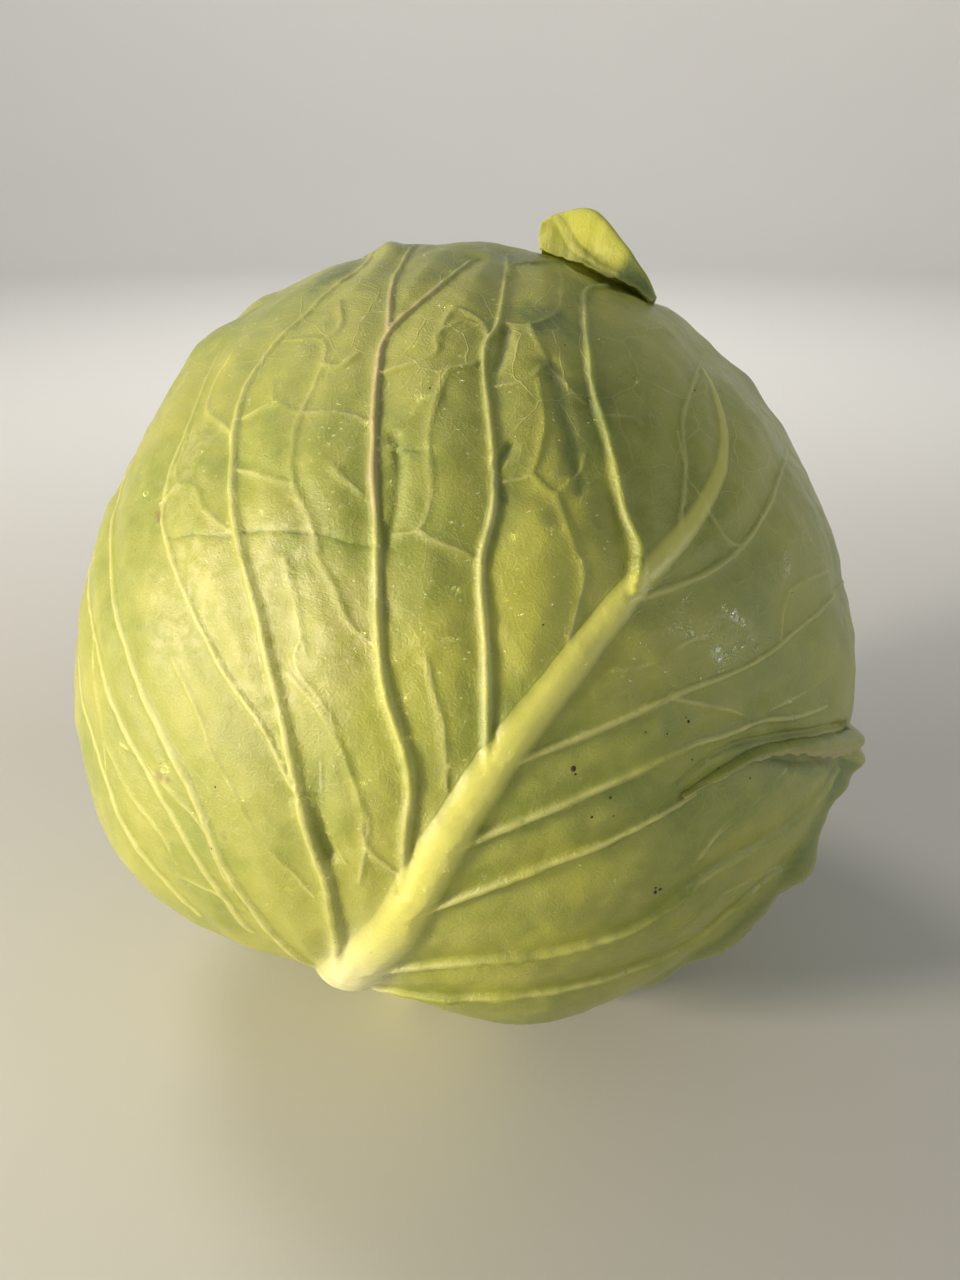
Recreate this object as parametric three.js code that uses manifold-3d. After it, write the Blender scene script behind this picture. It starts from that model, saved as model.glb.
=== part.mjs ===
// A head of white cabbage, lying on the lower side of one of its leaves.
// Lengths are millimetres and angles are degrees. The part rests on z = 0 and +Z is up.
//
// The head is described like a globe: its crown is the north pole and its cut stem the south pole.
// Longitude 0 is the side that a person standing at -Y looks at. Every leaf is drawn flat on a
// leaf map, x across and y towards its tip, and is then laid round the head.

import * as THREE from 'three';
import { mergeVertices } from 'three/addons/utils/BufferGeometryUtils.js';
import Module from 'manifold-3d';

const wasm = await Module();
wasm.setup();

// Size of the head and the way it lies
const HEAD_RADIUS = 90;
const REST_HEIGHT = 85;
const LEAN = 40.3;
const LEAN_HEADING = 61.3;
const SPIN = -153.4;
const HEAD_CENTRE = [-0.4, 1.3];

// Leaves and what they leave between them
const BLADE_THICKNESS = 1.0;
const LEAF_PITCH = 2.2;
const COVER_RAMP = 26;
const COVERED_RIB_HEIGHT = 0.5;
const LIFT_WIDTH = 14;

// Stem: a cut stump outside, and the tapering core that it becomes inside the heart
const STEM_RADIUS = 15;
const STEM_CUT = -75;
const CORE_TIP = -18;
const CORE_TIP_RADIUS = 6;
const STEM_GAP = 0.4;

// Fineness of the faceted solids: the length of a triangle's side
const FRONT_FACET = 7.8;
const WRAPPER_FACET = 12.5;
const HEART_DETAIL = 7;

// Swells and hollows of the head: longitude, latitude, width in degrees, height
const SWELLS = [
  [0, -90, 18, -12.5],
  [-69, 3, 26, -3.8],
  [50, 43, 24, -3.6],
  [-57, 33, 9, -1.4],
  [-61, 23, 6, 2.0],
  [-73, -54, 17, 3.2],
  [74, -10, 20, 1.8],
  [72, -60, 13, 1.6],
  [150, 20, 30, 1.5],
  [-150, -5, 24, -2.5],
  [20, 88, 24, -2.0],
];

// The front leaf, the outermost one. The map's middle, then the reach of the blade by angle
const FRONT_LEAF = {
  name: 'front_leaf',
  lon: 8,
  lat: -12,
  facet: FRONT_FACET,
  reach: [
    [-90, 108], [-76, 117], [-60, 116], [-48, 111], [-38, 103], [-22, 101], [-8, 101], [2, 107],
    [12, 122], [28, 134], [48, 130], [66, 122], [78, 116], [85, 104], [90, 119], [102, 123],
    [114, 119], [123, 112], [132, 122], [150, 140], [172, 146], [196, 144], [216, 136],
    [236, 130], [254, 121],
  ],
  ripple: 1.2,
  lifts: [
    [-24, 20, 2.2],
    [3, 6, 2.4],
    [121, 4, 2.0],
    [150, 20, 1.0],
    [60, 16, 1.5],
  ],
  veins: [
    { route: [[0, -103], [-5, -82], [-2, -58], [-1, -40], [2, -19], [7, -2], [14, 17], [24, 38],
      [28, 58], [24, 78]], wide: [7.6, 1.0], high: [5.0, 0.5], fades: 0.8 },
    { route: [[-3, -50], [-7, -38], [-11, -25], [-21, -11], [-30, 10], [-36, 24], [-42, 41],
      [-44, 52], [-39, 71], [-36, 89]], wide: [2.4, 1.0], high: [2.0, 0.6] },
    { route: [[-44, 52], [-49, 66], [-53, 84], [-56, 104]], wide: [1.3, 0.9], high: [0.8, 0.5] },
    { route: [[1, -20], [-6, -2], [-12, 12], [-14, 25], [-24, 51], [-24, 62], [-27, 82],
      [-30, 100]], wide: [2.0, 0.9], high: [1.6, 0.5] },
    { route: [[14, 17], [13, 24], [8, 31], [3, 41], [-3, 53], [-7, 70], [-8, 86], [-2, 98]],
      wide: [2.2, 1.1], high: [2.2, 0.9] },
    { route: [[-7, -86], [-10, -71], [-17, -54], [-24, -44], [-34, -27], [-46, -9], [-61, 11],
      [-69, 29], [-70, 42], [-66, 60], [-64, 82], [-70, 104]], wide: [3.0, 0.9], high: [2.6, 0.5] },
    { route: [[-28, -38], [-39, -28], [-50, -21], [-72, -4], [-79, 4], [-84, 24], [-92, 48]],
      wide: [1.6, 0.9], high: [1.4, 0.5] },
    { route: [[-9, -88], [-20, -82], [-35, -66], [-51, -47], [-73, -31], [-90, -17], [-116, 6],
      [-130, 30]], wide: [2.6, 1.0], high: [2.2, 0.7] },
    { route: [[-30, -82], [-44, -66], [-59, -54], [-74, -45], [-90, -34], [-116, -20],
      [-136, -4]], wide: [2.0, 1.0], high: [1.7, 0.6] },
    { route: [[-44, -88], [-62, -76], [-80, -62], [-100, -48], [-126, -34]],
      wide: [2.2, 1.0], high: [2.0, 0.7] },
    { route: [[20, 30], [19, 44], [17, 56], [22, 76], [30, 96]], wide: [1.3, 0.8], high: [0.9, 0.4] },
    { route: [[13, 14], [27, 25], [36, 36], [43, 50], [52, 66], [66, 84]],
      wide: [1.6, 0.8], high: [1.1, 0.5] },
    { route: [[6, -16], [18, -6], [30, 4], [43, 13], [58, 27], [82, 46], [104, 58]],
      wide: [1.6, 0.8], high: [1.2, 0.5] },
    { route: [[5, -32], [20, -18], [30, -10], [48, -1]], wide: [1.8, 1.0], high: [1.4, 0.8] },
    { route: [[4, -49], [16, -36], [28, -26], [38, -18], [47, -6]], wide: [1.8, 0.9],
      high: [1.5, 0.6] },
    { route: [[3, -70], [18, -60], [32, -53], [47, -40], [57, -28], [79, -15], [94, -2]],
      wide: [2.0, 0.9], high: [1.7, 0.6] },
    { route: [[4, -88], [22, -76], [40, -67], [60, -56], [74, -44], [90, -28]],
      wide: [2.0, 0.9], high: [1.6, 0.6] },
    { route: [[28, -11], [38, -6], [52, -2], [70, 4], [88, 6], [104, 6]],
      wide: [2.0, 4.0], high: [0.6, 2.4] },
  ],
};

// The leaves below it, from the outside inwards
const BACK_LEAF = {
  name: 'back_leaf',
  lon: 146,
  lat: -6,
  facet: WRAPPER_FACET,
  reach: [
    [-90, 118], [-74, 130], [-48, 134], [-20, 138], [8, 140], [32, 146], [55, 158], [72, 154],
    [88, 158], [104, 166], [124, 152], [150, 136], [176, 130], [204, 134], [234, 134], [254, 129],
  ],
  ripple: 2.2,
  lifts: [[84, 22, 2.2], [120, 16, 1.4]],
  ribs: { base: -112, tip: 96, pairs: 5, span: 108, wide: 6.6, high: 3.6 },
};

const LEFT_LEAF = {
  name: 'left_leaf',
  lon: -106,
  lat: -8,
  facet: WRAPPER_FACET,
  reach: [
    [-90, 114], [-73, 126], [-44, 136], [-10, 140], [20, 138], [46, 148], [68, 158], [86, 150],
    [106, 160], [130, 150], [160, 138], [190, 134], [224, 134], [252, 125],
  ],
  ripple: 2.0,
  lifts: [[80, 24, 1.8]],
  ribs: { base: -110, tip: 92, pairs: 5, span: 104, wide: 6.2, high: 3.8 },
};

const INNER_LEAF = {
  name: 'inner_leaf',
  lon: 34,
  lat: -4,
  facet: WRAPPER_FACET,
  reach: [
    [-90, 120], [-72, 131], [-36, 134], [0, 134], [30, 138], [58, 150], [80, 162], [100, 156],
    [122, 150], [150, 138], [180, 134], [216, 134], [250, 130],
  ],
  ripple: 1.8,
  lifts: [[90, 24, 1.5]],
  ribs: { base: -112, tip: 92, pairs: 4, span: 100, wide: 5.6, high: 4.0 },
};

const LEAVES = [FRONT_LEAF, BACK_LEAF, LEFT_LEAF, INNER_LEAF];

// The curled flap on the front leaf's upper margin, as three rails from its left to its right
// end: map x, map y and height over the blade
const FLAP_THICKNESS = 0.9;
const FLAP_RAILS = [
  [[-20, 119, -0.5], [-10, 118, -0.5], [0, 111, -0.5], [11, 101, -0.5]],
  [[-23, 110, 5.5], [-13, 108, 10.5], [-4, 101, 8.5], [8, 97, 2.6]],
  [[-22, 104, 2.2], [-12, 102, 2.4], [-3, 98, 2.4], [9, 94, 1.0]],
];
const FLAP_STEPS = [10, 8];

const COLOURS = {
  front_leaf: 0xa3b65a,
  back_leaf: 0x9caf58,
  left_leaf: 0xa6b964,
  inner_leaf: 0xb9c878,
  heart: 0xc9d492,
  stem: 0xd9dcae,
};

const radians = THREE.MathUtils.degToRad;
const degrees = THREE.MathUtils.radToDeg;

// Unit direction from the head's centre, in the globe's own frame
function direction(lon, lat) {
  const flat = Math.cos(radians(lat));
  return new THREE.Vector3(
    flat * Math.cos(radians(lon)), flat * Math.sin(radians(lon)), Math.sin(radians(lat)));
}

function axisTurn(x, y, z, angle) {
  return new THREE.Quaternion().setFromAxisAngle(new THREE.Vector3(x, y, z), radians(angle));
}

const headTurn = axisTurn(0, 0, 1, LEAN_HEADING)
  .multiply(axisTurn(0, 1, 0, LEAN))
  .multiply(axisTurn(0, 0, 1, SPIN));
const DOWN = new THREE.Vector3(0, 0, -1).applyQuaternion(headTurn.clone().invert());

// A leaf map: true distance and true bearing from the leaf's middle, on the head's mean globe
class LeafMap {
  constructor(lon, lat) {
    this.middle = direction(lon, lat);
    this.north = new THREE.Vector3(0, 0, 1).addScaledVector(this.middle, -this.middle.z).normalize();
    this.east = new THREE.Vector3().crossVectors(this.north, this.middle);
  }

  toDirection(x, y) {
    const arc = Math.hypot(x, y) / HEAD_RADIUS;
    const bearing = Math.atan2(y, x);
    return this.middle.clone().multiplyScalar(Math.cos(arc))
      .addScaledVector(this.east, Math.sin(arc) * Math.cos(bearing))
      .addScaledVector(this.north, Math.sin(arc) * Math.sin(bearing));
  }

  fromDirection(dir) {
    const arc = Math.acos(THREE.MathUtils.clamp(dir.dot(this.middle), -1, 1));
    const bearing = Math.atan2(dir.dot(this.north), dir.dot(this.east));
    return [arc * HEAD_RADIUS * Math.cos(bearing), arc * HEAD_RADIUS * Math.sin(bearing)];
  }
}

// Catmull-Rom blend of four numbers
function blend(a, b, c, d, t) {
  return 0.5 * (2 * b + (c - a) * t + (2 * a - 5 * b + 4 * c - d) * t * t
    + (3 * b - a - 3 * c + d) * t * t * t);
}

function smoothstep(t) {
  const k = THREE.MathUtils.clamp(t, 0, 1);
  return k * k * (3 - 2 * k);
}

// How far the blade reaches from its map's middle, at a bearing in degrees
function reachAt(leaf, bearing) {
  const table = leaf.reach;
  const count = table.length;
  const first = table[0][0];
  const angle = first + THREE.MathUtils.euclideanModulo(bearing - first, 360);
  let i = count - 1;
  while (table[i][0] > angle) i -= 1;
  const start = table[i][0];
  const end = i + 1 < count ? table[i + 1][0] : first + 360;
  const at = (k) => table[(k + count) % count][1];
  const reach = blend(at(i - 1), at(i), at(i + 1), at(i + 2), (angle - start) / (end - start));
  const turn = radians(bearing);
  return reach + leaf.ripple * (Math.sin(9 * turn + 1) + 0.6 * Math.sin(17 * turn));
}

// Distance inside the leaf's margin, negative outside it
function insideMargin(leaf, x, y) {
  return reachAt(leaf, degrees(Math.atan2(y, x))) - Math.hypot(x, y);
}

// 1 under a leaf, falling to 0 over a ramp outside its margin
function cover(leaf, dir) {
  const [x, y] = leaf.map.fromDirection(dir);
  return smoothstep(1 + insideMargin(leaf, x, y) / COVER_RAMP);
}

// The head's outside, with a flat spot where it rests, and a layer that lies below the outside
function layerRadius(dir, depth, height) {
  let radius = HEAD_RADIUS - depth + height;
  for (const swell of SWELL_SPOTS) {
    const angle = degrees(dir.angleTo(swell.dir));
    radius += swell.height * Math.exp(-((angle / swell.width) ** 2));
  }
  const downward = dir.dot(DOWN);
  return downward > 0 ? Math.min(radius, (REST_HEIGHT - depth) / downward) : radius;
}

const SWELL_SPOTS = SWELLS.map(([lon, lat, width, height]) => (
  { dir: direction(lon, lat), width, height }));

// A route through hand-placed points, as short steps with a place, a fraction and its sides
function smoothRoute(points, step) {
  const at = (k) => points[THREE.MathUtils.clamp(k, 0, points.length - 1)];
  const dense = [];
  for (let i = 0; i + 1 < points.length; i += 1) {
    const length = Math.hypot(at(i + 1)[0] - at(i)[0], at(i + 1)[1] - at(i)[1]);
    const parts = Math.max(1, Math.round(length / step));
    for (let k = 0; k < parts; k += 1) {
      const t = k / parts;
      dense.push([0, 1].map((n) => blend(at(i - 1)[n], at(i)[n], at(i + 1)[n], at(i + 2)[n], t)));
    }
  }
  dense.push([...at(points.length - 1)]);
  return dense;
}

// Side ribs and midrib of a leaf whose veins follow the common pattern
function patternVeins({ base, tip, pairs, span, wide, high }) {
  const veins = [{ route: [[0, base], [1, base / 2], [-1, 0], [0, tip]], wide: [wide, 1.2],
    high: [high, 0.6], fades: 0.8 }];
  for (let i = 0; i < pairs; i += 1) {
    const start = base + 26 + (i * (tip - base - 40)) / pairs;
    const fork = 1 - i / pairs;
    for (const side of [-1, 1]) {
      const from = start + side * 5;
      const rise = 26 + 20 * fork;
      const out = span * (0.72 + 0.28 * fork);
      veins.push({ route: [[0, from], [side * out * 0.22, from + rise * 0.6],
        [side * out * 0.55, from + rise * 1.25], [side * out, from + rise * 2]],
      wide: [2.2, 1.0], high: [1.8, 0.5] });
    }
  }
  return veins;
}

for (const leaf of LEAVES) {
  leaf.map = new LeafMap(leaf.lon, leaf.lat);
  leaf.veins = leaf.veins ?? patternVeins(leaf.ribs);
  leaf.ridges = leaf.veins.map((vein) => ({
    ...vein, fades: vein.fades ?? 1, line: smoothRoute(vein.route, leaf.facet * 1.1) }));
}

// Half width and height of a ridge at a fraction of its length
function ridgeSize(ridge, fraction) {
  const t = fraction ** ridge.fades;
  return [THREE.MathUtils.lerp(ridge.wide[0], ridge.wide[1], t),
    THREE.MathUtils.lerp(ridge.high[0], ridge.high[1], t)];
}

// Distance from each ridge at a place on the map, with the ridge's half width and height there
function nearRidges(leaf, x, y) {
  return leaf.ridges.map((ridge) => {
    let nearest = { away: Infinity, fraction: 0 };
    for (let i = 0; i + 1 < ridge.line.length; i += 1) {
      const [ax, ay] = ridge.line[i];
      const [bx, by] = ridge.line[i + 1];
      const length2 = (bx - ax) ** 2 + (by - ay) ** 2;
      const t = THREE.MathUtils.clamp(((x - ax) * (bx - ax) + (y - ay) * (by - ay)) / length2, 0, 1);
      const away = Math.hypot(x - ax - t * (bx - ax), y - ay - t * (by - ay));
      if (away < nearest.away) nearest = { away, fraction: (i + t) / (ridge.line.length - 1) };
    }
    const [wide, high] = ridgeSize(ridge, nearest.fraction);
    return { away: nearest.away, wide, high };
  });
}

function ridgeHeight(leaf, x, y) {
  return Math.max(...nearRidges(leaf, x, y).map(({ away, wide, high }) => (
    away < wide ? high * (1 - (away / wide) ** 2) : 0)));
}

// How far the free margin stands off, near the bearings where it is lifted
function marginLift(leaf, x, y) {
  const edge = smoothstep(1 - insideMargin(leaf, x, y) / LIFT_WIDTH);
  const bearing = degrees(Math.atan2(y, x));
  let lift = 0;
  for (const [angle, spread, height] of leaf.lifts) {
    const turn = THREE.MathUtils.euclideanModulo(bearing - angle + 180, 360) - 180;
    lift += height * Math.exp(-((turn / spread) ** 2));
  }
  return lift * edge;
}

// Both faces of the blade at a place on the leaf map, in the globe's frame
function bladePoints(leaf, index, x, y) {
  const dir = leaf.map.toDirection(x, y);
  const covers = LEAVES.slice(0, index).map((above) => cover(above, dir));
  const depth = LEAF_PITCH * covers.reduce((sum, c) => sum + c, 0);
  const free = 1 - Math.max(0, ...covers);
  const lift = free * marginLift(leaf, x, y);
  const ridge = ridgeHeight(leaf, x, y);
  const rib = free * ridge + (1 - free) * Math.min(ridge, COVERED_RIB_HEIGHT);
  const outer = layerRadius(dir, depth, rib + lift);
  const inner = layerRadius(dir, depth + BLADE_THICKNESS, lift);
  return [dir.clone().multiplyScalar(outer), dir.clone().multiplyScalar(inner)];
}

// Points of the flat leaf: margin, crests and feet of the ridges, then an even filling
function scatterPoints(leaf, index) {
  const points = [];
  const shown = (x, y) => LEAVES.slice(0, index).every((above) => (
    cover(above, leaf.map.toDirection(x, y)) < 0.7));
  const clear = (x, y, gap) => points.every(([px, py]) => Math.hypot(px - x, py - y) > gap);
  const steps = Math.round((2 * Math.PI * 125) / (leaf.facet * 1.05));
  for (let i = 0; i < steps; i += 1) {
    const bearing = (360 * i) / steps;
    const reach = reachAt(leaf, bearing);
    points.push([reach * Math.cos(radians(bearing)), reach * Math.sin(radians(bearing))]);
  }
  for (const ridge of leaf.ridges) {
    ridge.line.forEach(([x, y], i) => {
      const [wide] = ridgeSize(ridge, i / (ridge.line.length - 1));
      const [ax, ay] = ridge.line[Math.max(0, i - 1)];
      const [bx, by] = ridge.line[Math.min(ridge.line.length - 1, i + 1)];
      const length = Math.hypot(bx - ax, by - ay);
      for (const side of [0, -1, 1]) {
        const px = x - (side * wide * (by - ay)) / length;
        const py = y + (side * wide * (bx - ax)) / length;
        if (shown(px, py) && insideMargin(leaf, px, py) > 2
          && clear(px, py, Math.min(1.2, wide * 0.6))) {
          points.push([px, py]);
        }
      }
    });
  }
  const rows = Math.ceil(180 / leaf.facet);
  for (let row = -rows; row <= rows; row += 1) {
    for (let column = -rows; column <= rows; column += 1) {
      const x = (column + (row % 2 ? 0.5 : 0)) * leaf.facet;
      const y = row * leaf.facet * 0.87;
      const offRidges = !shown(x, y) || nearRidges(leaf, x, y).every((near) => (
        near.away > near.wide * 0.5 + leaf.facet * 0.6));
      if (insideMargin(leaf, x, y) > leaf.facet * 0.6 && offRidges
        && clear(x, y, leaf.facet * 0.62)) {
        points.push([x, y]);
      }
    }
  }
  return points;
}

// Circle through three corners, for the triangulation
function circumcircle(points, corners) {
  const [[ax, ay], [bx, by], [cx, cy]] = corners.map((k) => points[k]);
  const d = 2 * (ax * (by - cy) + bx * (cy - ay) + cx * (ay - by));
  const a2 = ax * ax + ay * ay;
  const b2 = bx * bx + by * by;
  const c2 = cx * cx + cy * cy;
  const x = (a2 * (by - cy) + b2 * (cy - ay) + c2 * (ay - by)) / d;
  const y = (a2 * (cx - bx) + b2 * (ax - cx) + c2 * (bx - ax)) / d;
  return { corners, x, y, r2: (ax - x) ** 2 + (ay - y) ** 2 };
}

// Even triangles over a set of flat points: each point is added to the mesh in turn
function triangulate(flat) {
  const far = 4000;
  const points = [...flat, [-far, -far], [far, -far], [0, far]];
  const n = flat.length;
  let triangles = [circumcircle(points, [n, n + 1, n + 2])];
  for (let k = 0; k < n; k += 1) {
    const [x, y] = points[k];
    const edges = new Map();
    const kept = [];
    for (const triangle of triangles) {
      if ((x - triangle.x) ** 2 + (y - triangle.y) ** 2 >= triangle.r2) {
        kept.push(triangle);
        continue;
      }
      for (let i = 0; i < 3; i += 1) {
        const edge = [triangle.corners[i], triangle.corners[(i + 1) % 3]];
        const back = `${edge[1]},${edge[0]}`;
        if (edges.has(back)) edges.delete(back);
        else edges.set(edge.join(), edge);
      }
    }
    for (const [a, b] of edges.values()) kept.push(circumcircle(points, [a, b, k]));
    triangles = kept;
  }
  return triangles.map((t) => t.corners).filter((corners) => corners.every((c) => c < n));
}

function geometryFrom(vertices, faces) {
  const geometry = new THREE.BufferGeometry();
  geometry.setAttribute('position', new THREE.Float32BufferAttribute(
    vertices.flatMap((v) => [v.x, v.y, v.z]), 3));
  geometry.setIndex(faces.flat());
  return geometry;
}

// A closed blade: outer face, inner face with the same triangles, and the margin between them
function bladeGeometry(leaf, index) {
  const flat = scatterPoints(leaf, index);
  const n = flat.length;
  const middleInside = (corners) => {
    const x = (flat[corners[0]][0] + flat[corners[1]][0] + flat[corners[2]][0]) / 3;
    const y = (flat[corners[0]][1] + flat[corners[1]][1] + flat[corners[2]][1]) / 3;
    return insideMargin(leaf, x, y) > 0;
  };
  const upper = triangulate(flat).filter(middleInside);
  const pairs = flat.map(([x, y]) => bladePoints(leaf, index, x, y));
  const vertices = [...pairs.map((p) => p[0]), ...pairs.map((p) => p[1])];
  const faces = [...upper, ...upper.map(([a, b, c]) => [a + n, c + n, b + n])];
  const rim = new Map();
  for (const [a, b, c] of upper) {
    for (const edge of [[a, b], [b, c], [c, a]]) {
      const back = `${edge[1]},${edge[0]}`;
      if (rim.has(back)) rim.delete(back);
      else rim.set(edge.join(), edge);
    }
  }
  for (const [a, b] of rim.values()) {
    faces.push([a, b + n, b], [a, a + n, b + n]);
  }
  return geometryFrom(vertices, faces);
}

// The flap: a curled sheet through the three rails, thickened along its own normals
function flapGeometry() {
  const [across, over] = FLAP_STEPS;
  const rails = FLAP_RAILS.map((rail) => new THREE.CatmullRomCurve3(
    rail.map((p) => new THREE.Vector3(...p))));
  const place = (u, v) => {
    const curve = new THREE.CatmullRomCurve3(rails.map((rail) => rail.getPoint(u)));
    const p = curve.getPoint(v);
    const dir = FRONT_LEAF.map.toDirection(p.x, p.y);
    return dir.multiplyScalar(layerRadius(dir, 0, p.z));
  };
  const vertices = [];
  for (const side of [0.5, -0.5]) {
    for (let i = 0; i <= across; i += 1) {
      for (let j = 0; j <= over; j += 1) {
        const u = i / across;
        const v = j / over;
        const h = 0.02;
        const du = place(Math.min(1, u + h), v).sub(place(Math.max(0, u - h), v));
        const dv = place(u, Math.min(1, v + h)).sub(place(u, Math.max(0, v - h)));
        const normal = du.cross(dv).normalize();
        vertices.push(place(u, v).addScaledVector(normal, side * FLAP_THICKNESS));
      }
    }
  }
  const at = (side, i, j) => side * (across + 1) * (over + 1) + i * (over + 1) + j;
  const faces = [];
  const quad = (a, b, c, d) => faces.push([a, b, c], [a, c, d]);
  for (let i = 0; i < across; i += 1) {
    for (let j = 0; j < over; j += 1) {
      quad(at(0, i, j), at(0, i + 1, j), at(0, i + 1, j + 1), at(0, i, j + 1));
      faces.push([at(1, i, j), at(1, i + 1, j + 1), at(1, i + 1, j)]);
      faces.push([at(1, i, j), at(1, i, j + 1), at(1, i + 1, j + 1)]);
    }
  }
  for (let i = 0; i < across; i += 1) {
    quad(at(0, i, 0), at(1, i, 0), at(1, i + 1, 0), at(0, i + 1, 0));
    quad(at(0, i + 1, over), at(1, i + 1, over), at(1, i, over), at(0, i, over));
  }
  for (let j = 0; j < over; j += 1) {
    quad(at(0, 0, j + 1), at(1, 0, j + 1), at(1, 0, j), at(0, 0, j));
    quad(at(0, across, j), at(1, across, j), at(1, across, j + 1), at(0, across, j + 1));
  }
  return geometryFrom(vertices, faces);
}

// A turned shape round the head's axis: stem and core, or with a gap the space they stand in
function stemGeometry(gap) {
  const radius = STEM_RADIUS + gap;
  const end = gap ? STEM_CUT - 20 : STEM_CUT;
  const profile = [
    [0, end], [radius - (gap ? 0 : 1.2), end], [radius, end + 1], [radius, -62],
    [STEM_RADIUS * 0.8 + gap, -48], [CORE_TIP_RADIUS + gap, CORE_TIP - 4 + gap],
    [0, CORE_TIP + gap],
  ].map(([r, z]) => new THREE.Vector2(r, z));
  return new THREE.LatheGeometry(profile, 20).rotateX(Math.PI / 2);
}

// The heart: the closed inner leaves, with their overlapping margins as low steps
function heartGeometry() {
  const geometry = new THREE.IcosahedronGeometry(1, HEART_DETAIL);
  geometry.deleteAttribute('normal');
  geometry.deleteAttribute('uv');
  const merged = mergeVertices(geometry, 1e-4);
  const position = merged.getAttribute('position');
  for (let i = 0; i < position.count; i += 1) {
    const dir = new THREE.Vector3().fromBufferAttribute(position, i).normalize();
    const depth = LEAF_PITCH * LEAVES.reduce((sum, leaf) => sum + cover(leaf, dir), 0);
    const swirl = Math.atan2(dir.y, dir.x) / (2 * Math.PI) + dir.z * 0.6;
    const fold = 0.9 * (1 - THREE.MathUtils.euclideanModulo(swirl * 3, 1)) * smoothstep(dir.z * 2);
    const radius = layerRadius(dir, depth + fold + 0.6, 0);
    position.setXYZ(i, dir.x * radius, dir.y * radius, dir.z * radius);
  }
  return merged;
}

function solidFrom(geometry) {
  const bare = geometry.clone();
  bare.deleteAttribute('normal');
  bare.deleteAttribute('uv');
  const merged = mergeVertices(bare, 1e-4);
  return new wasm.Manifold(new wasm.Mesh({
    numProp: 3,
    vertProperties: new Float32Array(merged.getAttribute('position').array),
    triVerts: new Uint32Array(merged.index.array),
  }));
}

function geometryOf(solid) {
  const { vertProperties, triVerts } = solid.getMesh();
  const geometry = new THREE.BufferGeometry();
  geometry.setAttribute('position', new THREE.BufferAttribute(vertProperties, 3));
  geometry.setIndex(new THREE.BufferAttribute(triVerts, 1));
  return geometry;
}

const head = new THREE.Group();
head.position.set(HEAD_CENTRE[0], HEAD_CENTRE[1], REST_HEIGHT);
head.quaternion.copy(headTurn);

function addPiece(name, geometry) {
  const material = new THREE.MeshStandardMaterial(
    { color: COLOURS[name], roughness: 0.45, metalness: 0 });
  const mesh = new THREE.Mesh(geometry, material);
  mesh.name = name;
  head.add(mesh);
}

const stemSpace = solidFrom(stemGeometry(STEM_GAP));
LEAVES.forEach((leaf, index) => {
  let blade = solidFrom(bladeGeometry(leaf, index));
  if (leaf === FRONT_LEAF) blade = blade.add(solidFrom(flapGeometry()));
  addPiece(leaf.name, geometryOf(blade.subtract(stemSpace)));
});
addPiece('heart', geometryOf(solidFrom(heartGeometry()).subtract(stemSpace)));
addPiece('stem', stemGeometry(0));

const cabbage = new THREE.Group();
cabbage.add(head);

export default cabbage;
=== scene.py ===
"""A head of white cabbage: wrapper leaves with their ribs and nets, heart, cut stem and water.

Laid out as an add-on and run as a script. Shapes are worked out in millimetres in the head's own
globe frame, whose north pole is the crown, and are written to Blender in metres in the row frame.
Each leaf is drawn on a flat map, x across and y towards its tip, and then laid round the head."""

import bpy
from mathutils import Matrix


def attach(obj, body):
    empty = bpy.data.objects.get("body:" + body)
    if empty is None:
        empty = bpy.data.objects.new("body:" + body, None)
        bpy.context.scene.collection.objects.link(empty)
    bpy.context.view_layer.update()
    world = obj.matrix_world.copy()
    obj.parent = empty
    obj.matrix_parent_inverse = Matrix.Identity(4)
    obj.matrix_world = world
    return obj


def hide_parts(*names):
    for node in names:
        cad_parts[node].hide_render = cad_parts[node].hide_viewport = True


bl_info = {
    "name": "White cabbage",
    "version": (1, 0, 0),
    "blender": (4, 5, 0),
    "location": "3D View > Sidebar > Cabbage",
    "description": "Builds a head of white cabbage round its packed solids",
    "category": "Add Mesh",
}

import math

import bpy
import numpy as np
from mathutils import Matrix, Vector
from mathutils.bvhtree import BVHTree
from mathutils.geometry import delaunay_2d_cdt
from mathutils.kdtree import KDTree

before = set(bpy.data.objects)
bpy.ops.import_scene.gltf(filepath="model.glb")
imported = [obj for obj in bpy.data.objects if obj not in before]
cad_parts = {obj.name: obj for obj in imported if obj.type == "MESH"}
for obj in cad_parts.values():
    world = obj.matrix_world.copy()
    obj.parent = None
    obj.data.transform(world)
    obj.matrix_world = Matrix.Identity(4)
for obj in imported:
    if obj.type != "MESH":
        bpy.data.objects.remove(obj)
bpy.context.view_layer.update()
MM = 0.001

# Size of the head and the way it lies
HEAD_RADIUS = 90.0
REST_HEIGHT = 85.0
LEAN = 40.3
LEAN_HEADING = 61.3
SPIN = -153.4
HEAD_CENTRE = np.array([-0.4, 1.3, REST_HEIGHT])

# Leaves and what they leave between them
LEAF_PITCH = 2.2
TRACED_SIDE = np.array([0.0, -0.91, 0.41])
COVER_RAMP = 26.0
COVERED_RIB_HEIGHT = 0.5
PRESS_WIDTH = 9.0
PRESS_DEPTH = 0.6
MARGIN_THICKNESS = 0.5
MARGIN_TAPER = 8.0

# Stem: a cut stump outside, and the tapering core that it becomes inside the heart
STEM_RADIUS = 15.0
STEM_CUT = -75.0
CORE_TIP = -18.0
CORE_TIP_RADIUS = 6.0

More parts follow.
